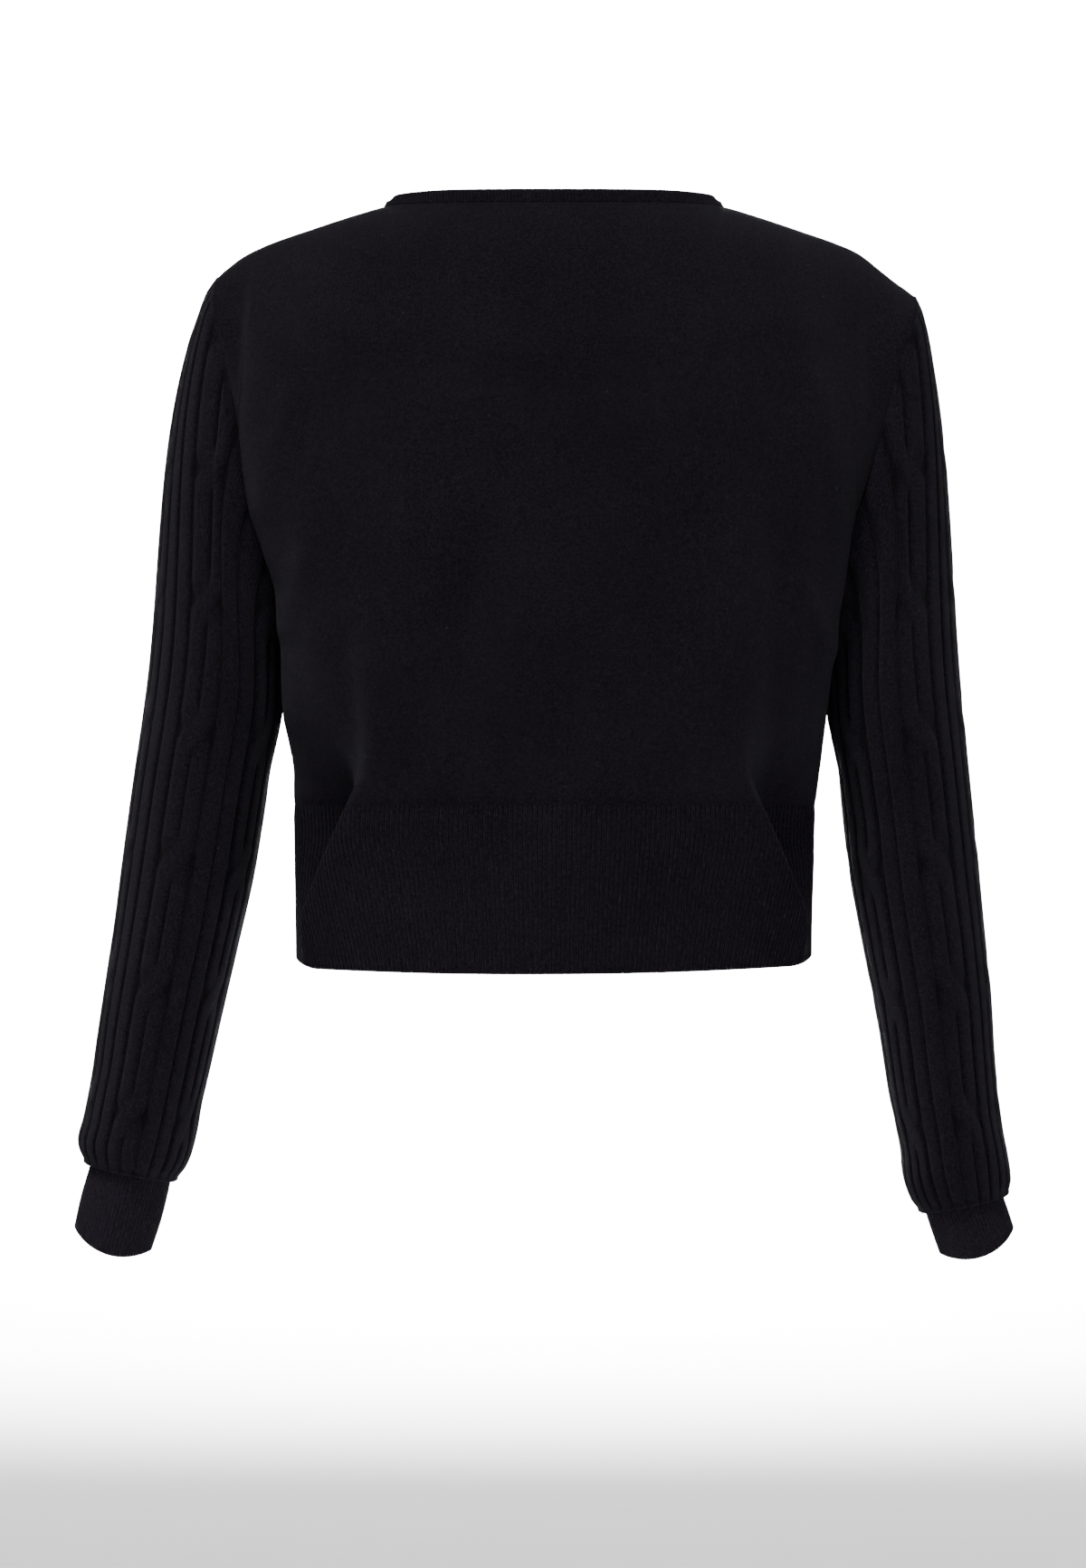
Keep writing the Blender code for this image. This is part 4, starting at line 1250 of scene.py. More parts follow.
@dataclass
class Body:
    """Back panel, two fronts and the ribbed hem."""

    form: BodyForm
    wardrobe: Wardrobe
    cloth: float = 1.6
    rib_cloth: float = 2.4
    rib_pitch: float = 2.5
    rib_depth: float = 0.75
    rib_samples: int = 6
    rib_fade_rows: float = 1.5
    rib_top_share: float = 0.35
    hem_droop: float = 2.5
    hem_low_x: float = 25.0
    hem_half_width: float = 150.0
    corner_start: float = 134.0
    corner_reach: float = 14.0
    corner_lift: float = 5.0
    crease_share: float = 2.0
    crease_fade: float = 18.0
    seam_sink: float = 0.5
    seam_reach: float = 3.2
    # Share of the seam dip that darkens the colour along the seams: painted shade.
    seam_hollow: float = 0.3
    axis_top: float = -60.0
    turn_cells: int = 4
    inner_step: int = 4
    rib_step: int = 3
    panels: dict = field(default_factory=dict)
    normals: dict = field(default_factory=dict)

    def _half_normals(self, grid: Array, side: Side) -> Array:
        """Thickness directions of a half panel, the same as its neighbours' along the seams.

        They point away from the body's axis, but straight sideways along the side seam, level
        along the bottom and across the body along the shoulder, with no sideways part along the
        centre.  Each turn is spread over the nearest rows or columns.

        Args:
            grid: Fine grid of the half panel.
            side: Left or right.
        Returns:
            One direction for each point.
        """
        centre = np.zeros_like(grid)
        centre[..., 2] = np.minimum(grid[..., 2], self.axis_top)
        normals = normals_of(grid, False, centre)
        rows, columns = grid.shape[:2]
        parts = self.form.row_parts
        underarm = len(self.form.panel_drops) * parts
        row = np.arange(rows)[:, None]
        column = np.arange(columns)[None]
        low = np.clip((underarm + parts - row) / parts, 0, 1)
        beside = np.clip(1 - (columns - 1 - column) / self.turn_cells, 0, 1) * low
        sideways = np.array([side.value, 0.0, 0.0])
        normals = unit(normals * (1 - beside[..., None]) + sideways * beside[..., None])
        normals[..., 2] *= 1 - np.clip(1 - row / self.turn_cells, 0, 1)
        neck = self.form.neck_columns * self.form.column_parts
        over = np.clip(1 - (rows - 1 - row) / self.turn_cells, 0, 1)
        normals[:, neck:, 1] *= 1 - over
        normals[:, 0, 0] = 0.0
        return unit(normals)

    def build_panel(self, node: str, grid: Array, normals: Array, face: Face) -> None:
        """Cloth shell of a panel with its creases, which both of its sides follow.

        A bell-shaped trough runs beside each stitched edge: all four of the back's, and all but
        the centre one of a front's.

        Args:
            node: Node that it stands for.
            grid: Fine grid of the outer surface.
            normals: Thickness directions of the grid.
            face: Back or front.
        """
        across, along = lengths_along(grid, 1), lengths_along(grid, 0)
        sides = [across, across[:, -1:] - across]
        ends = [along, along[-1:] - along]
        inside = np.minimum.reduce(sides + ends if face is Face.BACK else sides)
        nearest = np.minimum.reduce((sides if face is Face.BACK else sides[1:]) + ends)
        crease = fold_height(grid[..., 0], -grid[..., 2], CREASES[face])
        crease *= np.clip(inside / self.crease_fade, 0, 1) * self.crease_share
        dip = self.seam_sink * bell(nearest, self.seam_reach)
        widest = across[int(np.argmax(across[:, -1]))][None]
        middle = along[:, grid.shape[1] // 2][:, None]
        # The seam dips are darkened by their hollow values: painted shade.
        Cloth(
            node, "body_jersey", self.wardrobe.jersey, grid, normals, crease - dip,
            crease - self.cloth, widest, middle, dip * self.seam_hollow, self.inner_step,
        ).build()

    def _hem_hang(self, grid: Array) -> Array:
        """How the bottom edge hangs: lowest near the middle, and curved up at the side seams.

        Args:
            grid: Hem grid, bottom edge first.
        Returns:
            Vectors to take off the grid, which fade out at the top of the rib.
        """
        x = grid[..., 0]
        low = self.hem_droop * (1 - ((x - self.hem_low_x) / self.hem_half_width) ** 2)
        corner = np.clip((np.abs(x) - self.corner_start) / self.corner_reach, 0, 1)
        fade = np.linspace(1, 0, len(grid))[:, None] ** 2
        return np.stack([0 * x, 0 * x, (low - self.corner_lift * corner**2) * fade], -1)

    def build_rib(self, node: str, grid: Array, ends: tuple) -> None:
        """Ribbed hem piece: ribs are rounded waves across the run, one for each pitch.

        Args:
            node: Node that it stands for.
            grid: Fine grid of the outer surface, bottom edge first.
            ends: Thickness directions along its first and last columns.
        """
        length = lengths_along(grid, 1)
        columns = round(length[0, -1] / self.rib_pitch) * self.rib_samples
        want = np.linspace(0, 1, columns + 1)
        even = np.stack([read_line(want, run / run[-1], row) for run, row in zip(length, grid)])
        even = even - self._hem_hang(even)
        normals = normals_of(even, False, even * [0, 0, 1])
        normals[-1] = unit(normals[-1] * [1, 1, 0])
        normals[:, 0], normals[:, -1] = ends
        even, normals, inset = rounded_edge(even, normals, self.rib_cloth, False)
        wave = rib_wave(columns + 1, self.rib_samples)[None]
        rows = np.arange(len(even))[:, None]
        fade = np.clip((len(even) - 1 - rows) / self.rib_fade_rows, 0, 1)
        along = lengths_along(even, 0)
        dip = self.seam_sink * bell(along[-1:] - along, self.seam_reach)
        share = self.rib_top_share + (1 - self.rib_top_share) * fade
        height = self.rib_depth * wave * share - dip - inset
        across = np.arange(columns + 1)[None] / self.rib_samples * self.rib_pitch / 2
        # The grooves between the ribs are darkened by their hollow values: painted shade.
        Cloth(
            node, "rib_knit", self.wardrobe.rib, even, normals, height, inset - self.rib_cloth,
            across, along[:, columns // 2][:, None], -wave, self.rib_step,
        ).build()

    def build(self) -> None:
        """Build the three panels and the three hem pieces."""
        form = self.form
        self.panels = {(f, s): form.half_panel(f, s) for f in Face for s in Side}
        self.normals = {key: self._half_normals(g, key[1]) for key, g in self.panels.items()}
        back = joined({s: self.panels[Face.BACK, s] for s in Side})
        facing = joined({s: self.normals[Face.BACK, s] for s in Side})
        self.build_panel("back_panel", back, facing, Face.BACK)
        for side in Side:
            key = Face.FRONT, side
            name = "front_" + side.name.lower()
            self.build_panel(name, self.panels[key], self.normals[key], Face.FRONT)
        hem = joined({s: form.half_hem(Face.BACK, s) for s in Side})
        self.build_rib("hem_rib_back", hem, ([-1, 0, 0], [1, 0, 0]))
        for side in Side:
            name = "hem_rib_front_" + side.name.lower()
            ends = [0, -1, 0], [side.value, 0, 0]
            self.build_rib(name, form.half_hem(Face.FRONT, side), ends)


# ---------------------------------------------------------------- sleeves

@dataclass
class Sleeve:
    """One sleeve in cables and ribs, and its cuff."""

    side: Side
    seams: SeamPlan
    wardrobe: Wardrobe
    column_shift: float = 0.0
    crossing_start: float = 38.0
    cap_flare: float = 0.42
    underarm_flare: float = 0.75
    lead_place: float = 0.875
    column_repeat: int = 4
    cable_start: float = 4.5
    column_samples: int = 12
    head_rows: int = 110
    ring_steps: tuple = (16, 16, 16, 16, 16, 16, 12, 8, 6)
    ellipse_samples: int = 721
    rib_height: float = 1.7
    crossing_spacing: float = 74.0
    crossing_length: float = 31.0
    bar_half: float = 0.5
    bar_spread: float = 0.2
    bar_power: int = 4
    bar_rise: float = 0.12
    bar_sink: float = 0.3
    rib_power: int = 5
    groove_power: int = 10
    bend_lean: float = 3.0
    cloth: float = 2.0
    column_width: float = 11.0
    seam_fade: float = 9.0
    lip_height: float = 0.9
    lip_place: float = 1.6
    lip_reach: float = 1.0
    inner_step: int = 4
    cuff_gap: float = 0.3
    cuff_cloth: float = 2.4
    cuff_ribs: int = 74
    cuff_samples: int = 6
    cuff_row_parts: int = 8
    cuff_pitch: float = 1.25
    cuff_rib_depth: float = 0.4
    cuff_tuck: float = 4.0
    cuff_tuck_share: float = 0.4
    cuff_droop: float = 7.5
    cuff_droop_power: float = 1.5
    # Constant taken off the cuff's hollow values, which makes the whole cuff paler.
    cuff_paling: float = 0.9
    cuff_step: int = 3

    def ellipse(self, ring: Ring, parts: Array, grow: float = 0.0) -> Array:
        """Points at given parts of an elliptic section's arc, from its outermost point backwards.

        Args:
            ring: The section.
            parts: Places round it, 0 to 1.
            grow: Added to both half axes.
        Returns:
            The points.
        """
        sign = self.side.value
        turn = np.linspace(0, 2 * np.pi, self.ellipse_samples)
        out = np.array([sign * ring.out_x, 0.0, -ring.out_drop])
        inner = np.array([sign * ring.in_x, 0.0, -ring.in_drop])
        centre = (out + inner) / 2 + [0, ring.mid_y, 0]
        arm = (out - inner) / 2
        arm = arm * (1 + grow / np.linalg.norm(arm))
        depth = np.array([0.0, ring.half_depth + grow, 0.0])
        path = centre + np.cos(turn)[:, None] * arm + np.sin(turn)[:, None] * depth
        length = lengths_along(path[None], 1)[0]
        return read_line(np.mod(parts, 1.0) * length[-1], length, path)

    def base(self, places: Array) -> Array:
        """Groove-level grid from the armhole to the cuff.

        Each column leaves the armhole seam, runs down a cubic curve to the first section and on
        through the others, and closes in on the cuff.

        Args:
            places: Places round the sleeve in columns of knitting.
        Returns:
            Rows by columns of points.
        """
        parts = (places + self.column_shift) / CORNERS
        corners = places + 0.5
        sections = [self.ellipse(ring, parts, -self.rib_height) for ring in SLEEVE_RINGS[self.side]]
        join = CUFF_RINGS[self.side][1]
        sections = np.array(sections + [self.ellipse(join, parts, self.cuff_gap + self.cloth)])
        seam = self.seams.loop_at(self.side, corners)
        axis = unit(sections[1] - sections[0])
        height = np.cos(2 * np.pi * corners / CORNERS)[:, None]
        flare = np.where(height > 0, self.cap_flare, -self.underarm_flare) * height
        leave = unit(axis + flare * (ARMHOLE_AXIS * [self.side.value, 1, 1]))
        reach = np.linalg.norm(sections[0] - seam, axis=1, keepdims=True)
        w = (np.arange(self.head_rows) / self.head_rows)[:, None, None]
        head = hermite(seam, leave * reach, sections[0], axis * reach, w)
        before = hermite(seam, leave * reach, sections[0], axis * reach, self.lead_place)
        return np.concatenate([head, smooth_line(sections, self.ring_steps, before, None)])

    def knit_height(self, places: Array, along: Array) -> Array:
        """Height of the knitting over its grooves.

        A rib is a rounded bar across its column.  A cable is two bars that change places at even
        steps, the front one rising over the other as the cosine of the way through the crossing.

        Args:
            places: Places round the sleeve in columns.
            along: Distances from the cuff.
        Returns:
            Height in millimetres.
        """
        local = np.mod(places - self.cable_start, self.column_repeat)
        off = np.abs(places - np.round(places))
        rib = 1 - (2 * off) ** self.rib_power
        across = local - 1.0
        spacing = self.crossing_spacing
        phase = np.mod(along - self.crossing_start + spacing / 2, spacing)
        swing = np.clip((phase - spacing / 2) / self.crossing_length, -0.5, 0.5)
        crossing = np.cos(swing * np.pi)
        offset = self.bar_half * np.sin(swing * np.pi)
        width = self.bar_half + self.bar_spread * crossing
        front, behind = (
            1 - np.clip(np.abs(across + way * offset) / width, 0, 1) ** self.bar_power
            for way in (-1, 1)
        )
        cable = np.maximum(
            front * (1 + self.bar_rise * crossing), behind * (1 - self.bar_sink * crossing)
        )
        cable = cable * (1 - np.abs(across) ** self.groove_power)
        return self.rib_height * np.where(local < 2, cable, rib)

    def bend_height(self, places: Array, along: Array) -> Array:
        """Height of the sleeve's soft bends, bell curves of the distance along and round it.

        Args:
            places: Places round the sleeve in columns.
            along: Distances from the cuff.
        Returns:
            Height in millimetres.
        """
        height = np.zeros(along.shape)
        for bend in SLEEVE_BENDS[self.side]:
            off = np.mod(places - bend.place + CORNERS / 2, CORNERS) - CORNERS / 2
            far = along - (bend.at + off * self.bend_lean)
            height += bend.height * bell(far, bend.reach) * bell(off, bend.spread)
        return height

    def build_sleeve(self) -> None:
        """Sleeve shell with its knitting raised outside and plain inside."""
        samples = self.column_samples
        places = np.arange(CORNERS * samples) / samples - 0.5
        base = self.base(places)
        normals = normals_of(base, True, base.mean(axis=1, keepdims=True))
        normals[0] = unit(normals[0] + normals[2])
        from_seam = lengths_along(base, 0)
        from_cuff = from_seam[-1:] - from_seam
        fade = np.clip(np.minimum(from_seam, from_cuff) / self.seam_fade, 0, 1)
        knit = self.knit_height(places[None], from_cuff)
        bend = self.bend_height(places[None], from_cuff) * fade
        lip = bell(from_cuff - self.lip_place, self.lip_reach) * self.lip_height
        across = np.concatenate([places, places[-1:] + 1 / samples])[None] * self.column_width
        along = np.concatenate([from_cuff, from_cuff[:, :1]], axis=1)
        # The grooves between ribs and cables are darkened by this: painted shade.
        hollow = np.clip(1 - knit / self.rib_height, 0, 1)
        Cloth(
            "sleeve_" + self.side.name.lower(), "sleeve_knit", self.wardrobe.cable, base, normals,
            knit * fade + bend + lip, bend - self.cloth, across, along, hollow, self.inner_step,
            closed=True,
        ).build()

    def build_cuff(self) -> None:
        """Cuff shell with fine ribs, its free edge rounded and hanging lower front and back."""
        count = self.cuff_ribs * self.cuff_samples
        parts = np.arange(count) / count
        rings = np.array([self.ellipse(ring, parts) for ring in CUFF_RINGS[self.side]])
        base = refined(rings, self.cuff_row_parts)
        down = unit(base[-1].mean(axis=0) - base[0].mean(axis=0))
        hang = np.sin(2 * np.pi * parts)[None, :, None] ** 2
        reach = np.linspace(0, 1, len(base))[:, None, None] ** self.cuff_droop_power
        base = base + down * (self.cuff_droop * hang * reach)
        normals = normals_of(base, True, base.mean(axis=1, keepdims=True))
        base, normals, inset = rounded_edge(base, normals, self.cuff_cloth, True)
        wave = rib_wave(count, self.cuff_samples)[None]
        along = lengths_along(base, 0)
        share = self.cuff_tuck_share
        share = share + (1 - share) * np.clip(along / self.cuff_tuck, 0, 1)
        height = self.cuff_rib_depth * wave * share - inset
        across = np.arange(count + 1)[None] / self.cuff_samples * self.cuff_pitch
        # Grooves between the ribs are darkened by their hollow values as painted shade; a constant
        # taken off them makes the whole cuff paler.
        Cloth(
            "cuff_" + self.side.name.lower(), "rib_knit", self.wardrobe.rib, base, normals, height,
            inset - self.cuff_cloth, across, np.concatenate([along, along[:, :1]], axis=1),
            -wave - self.cuff_paling, self.cuff_step, closed=True,
        ).build()


# ---------------------------------------------------------------- neck band and front closing

# Half section of a button, underside first: shares of its radius and of half its thickness.
BUTTON_PROFILE = (
    (0, -1), (0.7, -1), (0.93, -0.7), (1, -0.1), (0.98, 0.5), (0.9, 0.92), (0.8, 1),
    (0.7, 0.86), (0.6, 0.48), (0.45, 0.36), (0.25, 0.33), (0, 0.32),
)


@dataclass
class Trim:
    """Neck band, two button bands and the buttons."""

    body: Body
    wardrobe: Wardrobe
    cloth: float = 2.0
    neck_height: float = 7.2
    neck_rows: int = 10
    neck_fade: float = 1.5
    neck_least: float = 0.3
    turn_reach: float = 9.0
    upright_y: tuple = (-80, 5, 18, 30, 42)
    upright_share: tuple = (0.1, 0.0, 0.12, 0.45, 0.85)
    rib_pitch: float = 2.0
    rib_depth: float = 0.6
    rib_samples: int = 6
    map_pitch: float = 1.25
    inner_step: int = 3
    band_ribs: int = 8
    band_rows: int = 301
    band_smoothing: int = 12
    band_rib_depth: float = 0.48
    band_edge_sink: float = 0.7
    band_edge_reach: float = 0.8
    lean_rows: int = 12
    over_rise: float = 1.2
    under_sink: float = 1.1
    button_count: int = 6
    button_radius: float = 5.5
    button_thickness: float = 2.2
    button_turns: int = 72
    pole_radius: float = 0.02
    hole_place: float = 1.0
    hole_radius: float = 0.62
    hole_depth: float = 0.9
    hole_edge: float = 1.35
    first_drop: float = 104.0
    last_drop: float = 425.0
    gap: float = 0.3

    def _neck_loop(self, values: dict) -> Array:
        """Values along the neck seam, from the left front round the back to the right front.

        Args:
            values: Grids of the four half panels.
        Returns:
            One line of values.
        """
        count = self.body.form.neck_columns * self.body.form.column_parts
        front, back = Face.FRONT, Face.BACK
        parts = [
            values[front, Side.LEFT][-1, :count],
            values[back, Side.LEFT][-1, count::-1],
            values[back, Side.RIGHT][-1, 1 : count + 1],
            values[front, Side.RIGHT][-1, :count][::-1],
        ]
        return np.concatenate(parts)

    def build_neck_band(self) -> None:
        """Band that stands up from the neck seam, upright behind and flatter at the sides."""
        points = self._neck_loop(self.body.panels)
        facing = self._neck_loop(self.body.normals)
        length = lengths_along(points[None], 1)[0]
        columns = round(length[-1] / self.rib_pitch) * self.rib_samples
        want = np.linspace(0, length[-1], columns + 1)
        points, facing = read_line(want, length, points), read_line(want, length, facing)
        reach = self.turn_reach * columns / length[-1]
        facing = unit(blurred(facing, reach))
        along = unit(blurred(unit(np.gradient(points, axis=0)), reach))
        along[[0, -1]] = [[1, 0, 0], [1, 0, 0]]
        facing[[0, -1]] = unit(facing[[0, -1]] * [0, 1, 1])
        rise = np.cross(along, facing)
        inward = unit(points * [-1, -1, 0]) + [0, 0, 1]
        rise = unit(rise * np.sign(np.sum(rise * inward, axis=1, keepdims=True)))
        upright = np.interp(points[:, 1], self.upright_y, self.upright_share)[:, None]
        rise = unit(blurred(unit(rise * (1 - upright) + np.array([0, 0, 1.0]) * upright), reach))
        outward = unit(np.cross(along, rise))
        outward = outward * np.sign(np.sum(outward * facing, axis=1, keepdims=True))
        share = np.linspace(0, 1, self.neck_rows)[:, None, None]
        base = points[None] + rise[None] * (self.neck_height * share)
        normals = unit(facing[None] * (1 - share) + outward[None] * share)
        half = self.body.form.band_width / 2
        base[:, 0, 0], base[:, -1, 0] = half, -half
        base, normals, inset = rounded_edge(base, normals, self.cloth, True)
        wave = rib_wave(columns + 1, self.rib_samples)[None]
        rows = lengths_along(base, 0)[:, columns // 2][:, None]
        fade = np.clip(rows / self.neck_fade, self.neck_least, 1)
        height = self.rib_depth * wave * fade - inset
        across = np.arange(columns + 1)[None] / self.rib_samples * self.map_pitch
        # The grooves between the ribs are darkened by their hollow values: painted shade.
        Cloth(
            "neck_band", "rib_knit", self.wardrobe.rib, base, normals, height, inset - self.cloth,
            across, rows, -wave, self.inner_step,
        ).build()

    def _profile(self) -> tuple[Array, Array]:
        """Outline of the closed front at its middle, bottom edge up, and its forward normals.

        Returns:
            Points and normals.
        """
        hem = self.body.form.half_hem(Face.FRONT, Side.LEFT)[:-1, 0]
        panel = self.body.panels[Face.FRONT, Side.LEFT][:, 0]
        path = np.concatenate([hem, panel]) * [0, 1, 1]
        top = path[-1] + unit(path[-1] - path[-self.lean_rows]) * (self.neck_height + self.gap / 2)
        path = np.vstack([path, path[-1] * 0.5 + top * 0.5, top])
        length = lengths_along(path[None], 1)[0]
        path = read_line(np.linspace(0, length[-1], self.band_rows), length, path)
        along = np.gradient(path, axis=0)
        for _ in range(self.band_smoothing):
            along[1:-1] = along[:-2] + 2 * along[1:-1] + along[2:]
            along = unit(along)
        normals = np.stack([0 * along[:, 0], -along[:, 2], along[:, 1]], axis=-1)
        return path, normals * -np.sign(normals[:, 1:2])

    def build_band(self, label: str, lift: float, low_x: float, high_x: float) -> None:
        """Button band: a straight ribbed strip along the front outline.

        Args:
            label: left or right.
            lift: How far its outer side lies in front of the outline.
            low_x: Its edge towards the wearer's right.
            high_x: Its edge towards the wearer's left.
        """
        path, normals = self._profile()
        columns = self.band_ribs * self.rib_samples
        share = np.arange(columns + 1) / columns
        sideways = (low_x + (high_x - low_x) * share)[None, :, None] * np.array([1.0, 0, 0])
        wave = rib_wave(columns + 1, self.rib_samples)[None]
        edge = bell(np.minimum(share, 1 - share) * (high_x - low_x), self.band_edge_reach)
        base = (path + normals * lift)[:, None, :] + sideways
        height = self.band_rib_depth * wave - edge * self.band_edge_sink
        across = share[None] * self.band_ribs * self.map_pitch
        # The grooves between the ribs are darkened by their hollow values: painted shade.
        Cloth(
            "button_band_" + label, "rib_knit", self.wardrobe.rib, base, normals[:, None], height,
            np.array([[-self.cloth]]), across, lengths_along(base, 0), -wave, self.inner_step,
        ).build()

    def build_button(self, number: int, drop: float) -> None:
        """Turned four-hole button: radius and height follow a profile with a rim and a dish.

        Args:
            number: Number from the top.
            drop: Drop of its middle.
        """
        path, normals = self._profile()
        at = read_line(drop, -path[::-1, 2], path[::-1])
        lean = unit(read_line(drop, -path[::-1, 2], normals[::-1]))
        up = np.array([0.0, lean[2], -lean[1]])
        half = self.button_thickness / 2
        profile = np.array(BUTTON_PROFILE) * [self.button_radius, half]
        profile[[0, -1], 0] = self.pole_radius
        profile = refined(profile, 3)
        turn = np.arange(self.button_turns) * 2 * np.pi / self.button_turns
        x = profile[:, :1] * np.cos(turn)
        y = profile[:, :1] * np.sin(turn)
        z = np.broadcast_to(profile[:, 1:], x.shape)
        far = np.hypot(np.abs(x) - self.hole_place, np.abs(y) - self.hole_place)
        z = z - (z > 0) * self.hole_depth * np.clip(self.hole_edge - far / self.hole_radius, 0, 1)
        seat = at + lean * (self.over_rise + self.gap + half)
        points = seat + x[..., None] * [1, 0, 0] + y[..., None] * up + z[..., None] * lean
        rows, columns = x.shape
        index = np.arange(rows * columns).reshape(rows, columns)
        index = np.concatenate([index, index[:, :1]], axis=1)
        a, b, c, d = index[:-1, :-1], index[:-1, 1:], index[1:, 1:], index[1:, :-1]
        faces = [np.stack([a, b, c], -1).reshape(-1, 3), np.stack([a, c, d], -1).reshape(-1, 3)]
        pole = np.full(columns, rows * columns)
        faces.append(np.stack([pole, index[0, 1:], index[0, :-1]], -1))
        faces.append(np.stack([pole + 1, index[-1, :-1], index[-1, 1:]], -1))
        ends = seat + lean * profile[[0, -1], 1:]
        points = np.concatenate([points.reshape(-1, 3), ends]) * MM
        piece = mesh_object("shaped_button_{}".format(number), points, np.concatenate(faces), None)
        placed(piece, "button_{}".format(number), self.wardrobe.plastic)

    def build(self) -> None:
        """Build the band round the neck, the two button bands and the buttons."""
        self.build_neck_band()
        half = self.body.form.band_width / 2
        self.build_band("left", -self.under_sink, -half + self.gap, half)
        self.build_band("right", self.over_rise, -half, half)
        step = (self.last_drop - self.first_drop) / (self.button_count - 1)
        for k in range(self.button_count):
            self.build_button(k + 1, self.first_drop + step * k)


# ---------------------------------------------------------------- cuts

class Cut(NamedTuple):
    """Flat cut of a cloth piece before it is sewn: width and length in metres."""

    piece: str
    width: float
    length: float
    hangs_from: tuple
    area: float | None = None
    with_pieces: tuple = ()

    def declare(self) -> None:
        """Do nothing: the cut stays only in the table."""


BACK_AND_LEFT = ("cloth_back_panel", "cloth_front_left")
BACK_AND_RIGHT = ("cloth_back_panel", "cloth_front_right")
FRONTS = ("cloth_front_left", "cloth_front_right")
CUTS = table(
    Cut,
    ("cloth_back_panel", 0.44, 0.40, FRONTS, 0.155, ("cloth_neck_band",)),
    ("cloth_front_left", 0.225, 0.40, ("cloth_back_panel",), 0.07),
    ("cloth_front_right", 0.225, 0.40, ("cloth_back_panel",), 0.07),
    ("cloth_hem_rib_back", 0.40, 0.093, ("cloth_back_panel",)),
    ("cloth_hem_rib_front_left", 0.19, 0.093, ("cloth_front_left",)),
    ("cloth_hem_rib_front_right", 0.19, 0.093, ("cloth_front_right",)),
    ("cloth_sleeve_left", 0.29, 0.53, BACK_AND_LEFT, 0.135),
    ("cloth_sleeve_right", 0.29, 0.53, BACK_AND_RIGHT, 0.135),
    ("cloth_cuff_left", 0.165, 0.052, ("cloth_sleeve_left",)),
    ("cloth_cuff_right", 0.165, 0.052, ("cloth_sleeve_right",)),
    ("cloth_button_band_left", 0.018, 0.36, ("cloth_front_left",)),
    ("cloth_button_band_right", 0.018, 0.36, ("cloth_front_right",)),
)


# ---------------------------------------------------------------- studio

class Lamp(NamedTuple):
    """Soft square light, with the point it faces, and its size in metres and power in watts."""

    name: str
    place: tuple
    aim: tuple
    size: float
    power: float
    spread: float = 180.0


LAMPS = table(
    Lamp,
    ("key_light", (1.15, 2.2, 3.8), (0, 0, -0.2), 1.4, 194.0),
    ("fill_light", (-0.9, 3.4, 0.6), (0, 0, -0.4), 2.0, 33.5),
    ("backdrop_light", (0, -1.4, 2.2), (0, -4.9, -0.3), 1.2, 960.0, 80.0),
)


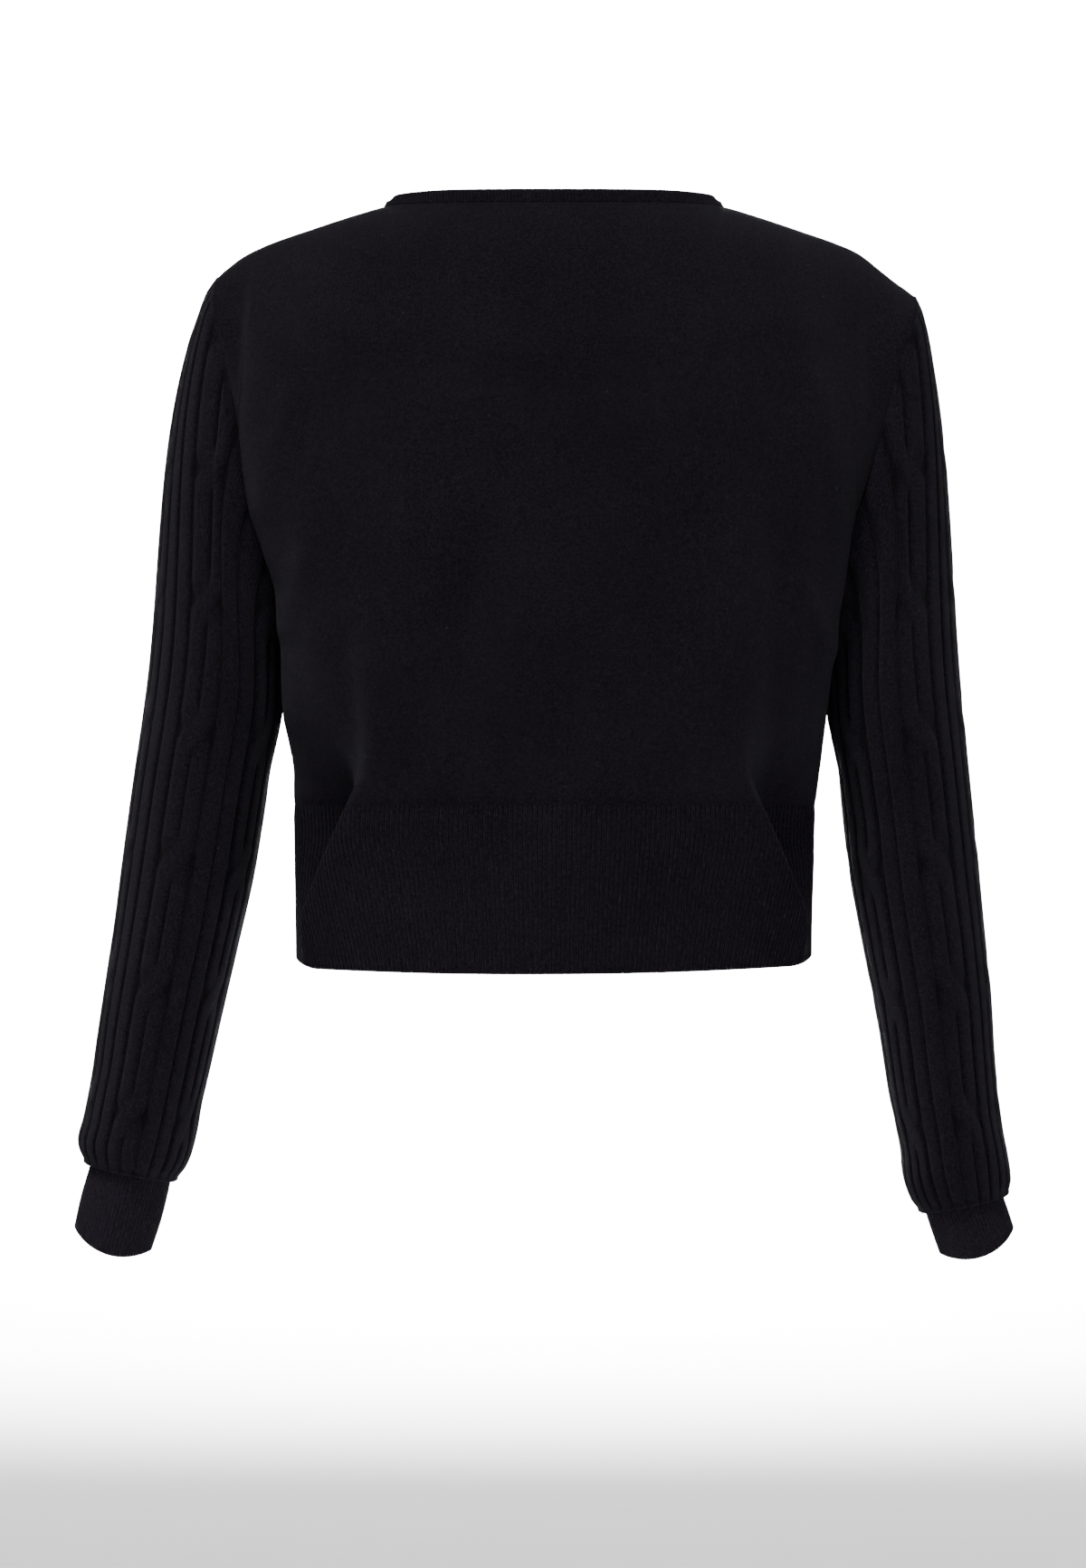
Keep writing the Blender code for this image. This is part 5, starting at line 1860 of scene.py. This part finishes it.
@dataclass
class Studio:
    """Pale floor that sweeps up behind the garment, soft lights and the camera."""

    distance: float = 3.5
    aim_x: float = 0.00624
    aim_z: float = -0.335
    lens: float = 139.9
    sensor: float = 36.0
    view_end: float = 60.0
    floor_z: float = -0.95
    floor_y: tuple = (14.0, 2.0, 0.0)
    floor_half_width: float = 12.0
    bend_start: float = -3.6
    bend_radius: float = 1.5
    bend_points: int = 25
    wall_height: float = 5.0
    paint: tuple = (0.88, 0.88, 0.88)
    air: float = 0.26

    def build_floor(self) -> None:
        """Floor whose far side bends up in a quarter circle into a wall."""
        radius, start, half = self.bend_radius, self.bend_start, self.floor_half_width
        turn = np.linspace(0, np.pi / 2, self.bend_points)
        y = np.concatenate([self.floor_y, start - radius * np.sin(turn), [start - radius]])
        z = np.concatenate([[0, 0, 0], radius - radius * np.cos(turn), [self.wall_height]])
        z = z + self.floor_z
        points = np.stack(np.broadcast_arrays([[-half, half]], y[:, None], z[:, None]), -1)
        k = np.arange(len(y) - 1) * 2
        faces = np.stack([k, k + 1, k + 3, k + 2], -1)
        mesh = bpy.data.meshes.new("studio_floor")
        mesh.from_pydata(points.reshape(-1, 3).tolist(), [], faces.tolist())
        mesh.shade_smooth()
        mesh.materials.append(StudioFinish("studio_paint", self.paint).material())
        floor = linked("studio_floor", mesh)

    @staticmethod
    def add_lamp(lamp: Lamp) -> None:
        """Hang one light and turn it to face its aim.

        Args:
            lamp: Its row in the table.
        """
        light = bpy.data.lights.new(lamp.name, "AREA")
        light.size = lamp.size
        light.energy = lamp.power
        light.spread = math.radians(lamp.spread)
        obj = linked(lamp.name, light)
        away = np.array(lamp.place) - np.array(lamp.aim)
        flat = math.hypot(away[0], away[1])
        obj.location = lamp.place
        obj.rotation_euler = (math.atan2(flat, away[2]), 0.0, math.atan2(away[0], -away[1]))

    def build(self) -> None:
        """Build the floor, the world, the lights and the camera."""
        self.build_floor()
        world = bpy.data.worlds.new("studio_air")
        world.use_nodes = True
        background = world.node_tree.nodes["Background"]
        background.inputs["Color"].default_value = (1.0, 1.0, 1.0, 1.0)
        background.inputs["Strength"].default_value = self.air
        bpy.context.scene.world = world
        for lamp in LAMPS:
            self.add_lamp(lamp)
        camera = bpy.data.cameras.new("photo_camera")
        camera.lens = self.lens
        camera.sensor_width = self.sensor
        camera.clip_end = self.view_end
        obj = linked("photo_camera", camera)
        obj.location = (self.aim_x, self.distance, self.aim_z)
        obj.rotation_euler = (math.pi / 2, 0.0, math.pi)
        bpy.context.scene.camera = obj


def main() -> None:
    """Build the cardigan and its studio, and log each step."""
    logging.basicConfig(level=logging.INFO, format="%(name)s: %(message)s")
    wardrobe = Wardrobe.make()
    LOG.info("finishes made")
    Studio().build()
    seams = SeamPlan()
    body = Body(BodyForm(seams=seams), wardrobe)
    body.build()
    LOG.info("panels and ribbed hem built")
    left = Sleeve(Side.LEFT, seams, wardrobe)
    right = Sleeve(
        Side.RIGHT, seams, wardrobe, column_shift=-0.5, crossing_start=52.0, cap_flare=0.2
    )
    for sleeve in (left, right):
        sleeve.build_sleeve()
        sleeve.build_cuff()
        LOG.info("%s sleeve and cuff built", sleeve.side.name.lower())
    Trim(body, wardrobe).build()
    LOG.info("neck band, button bands and buttons built")
    for cut in CUTS:
        cut.declare()


if __name__ == "__main__":
    main()
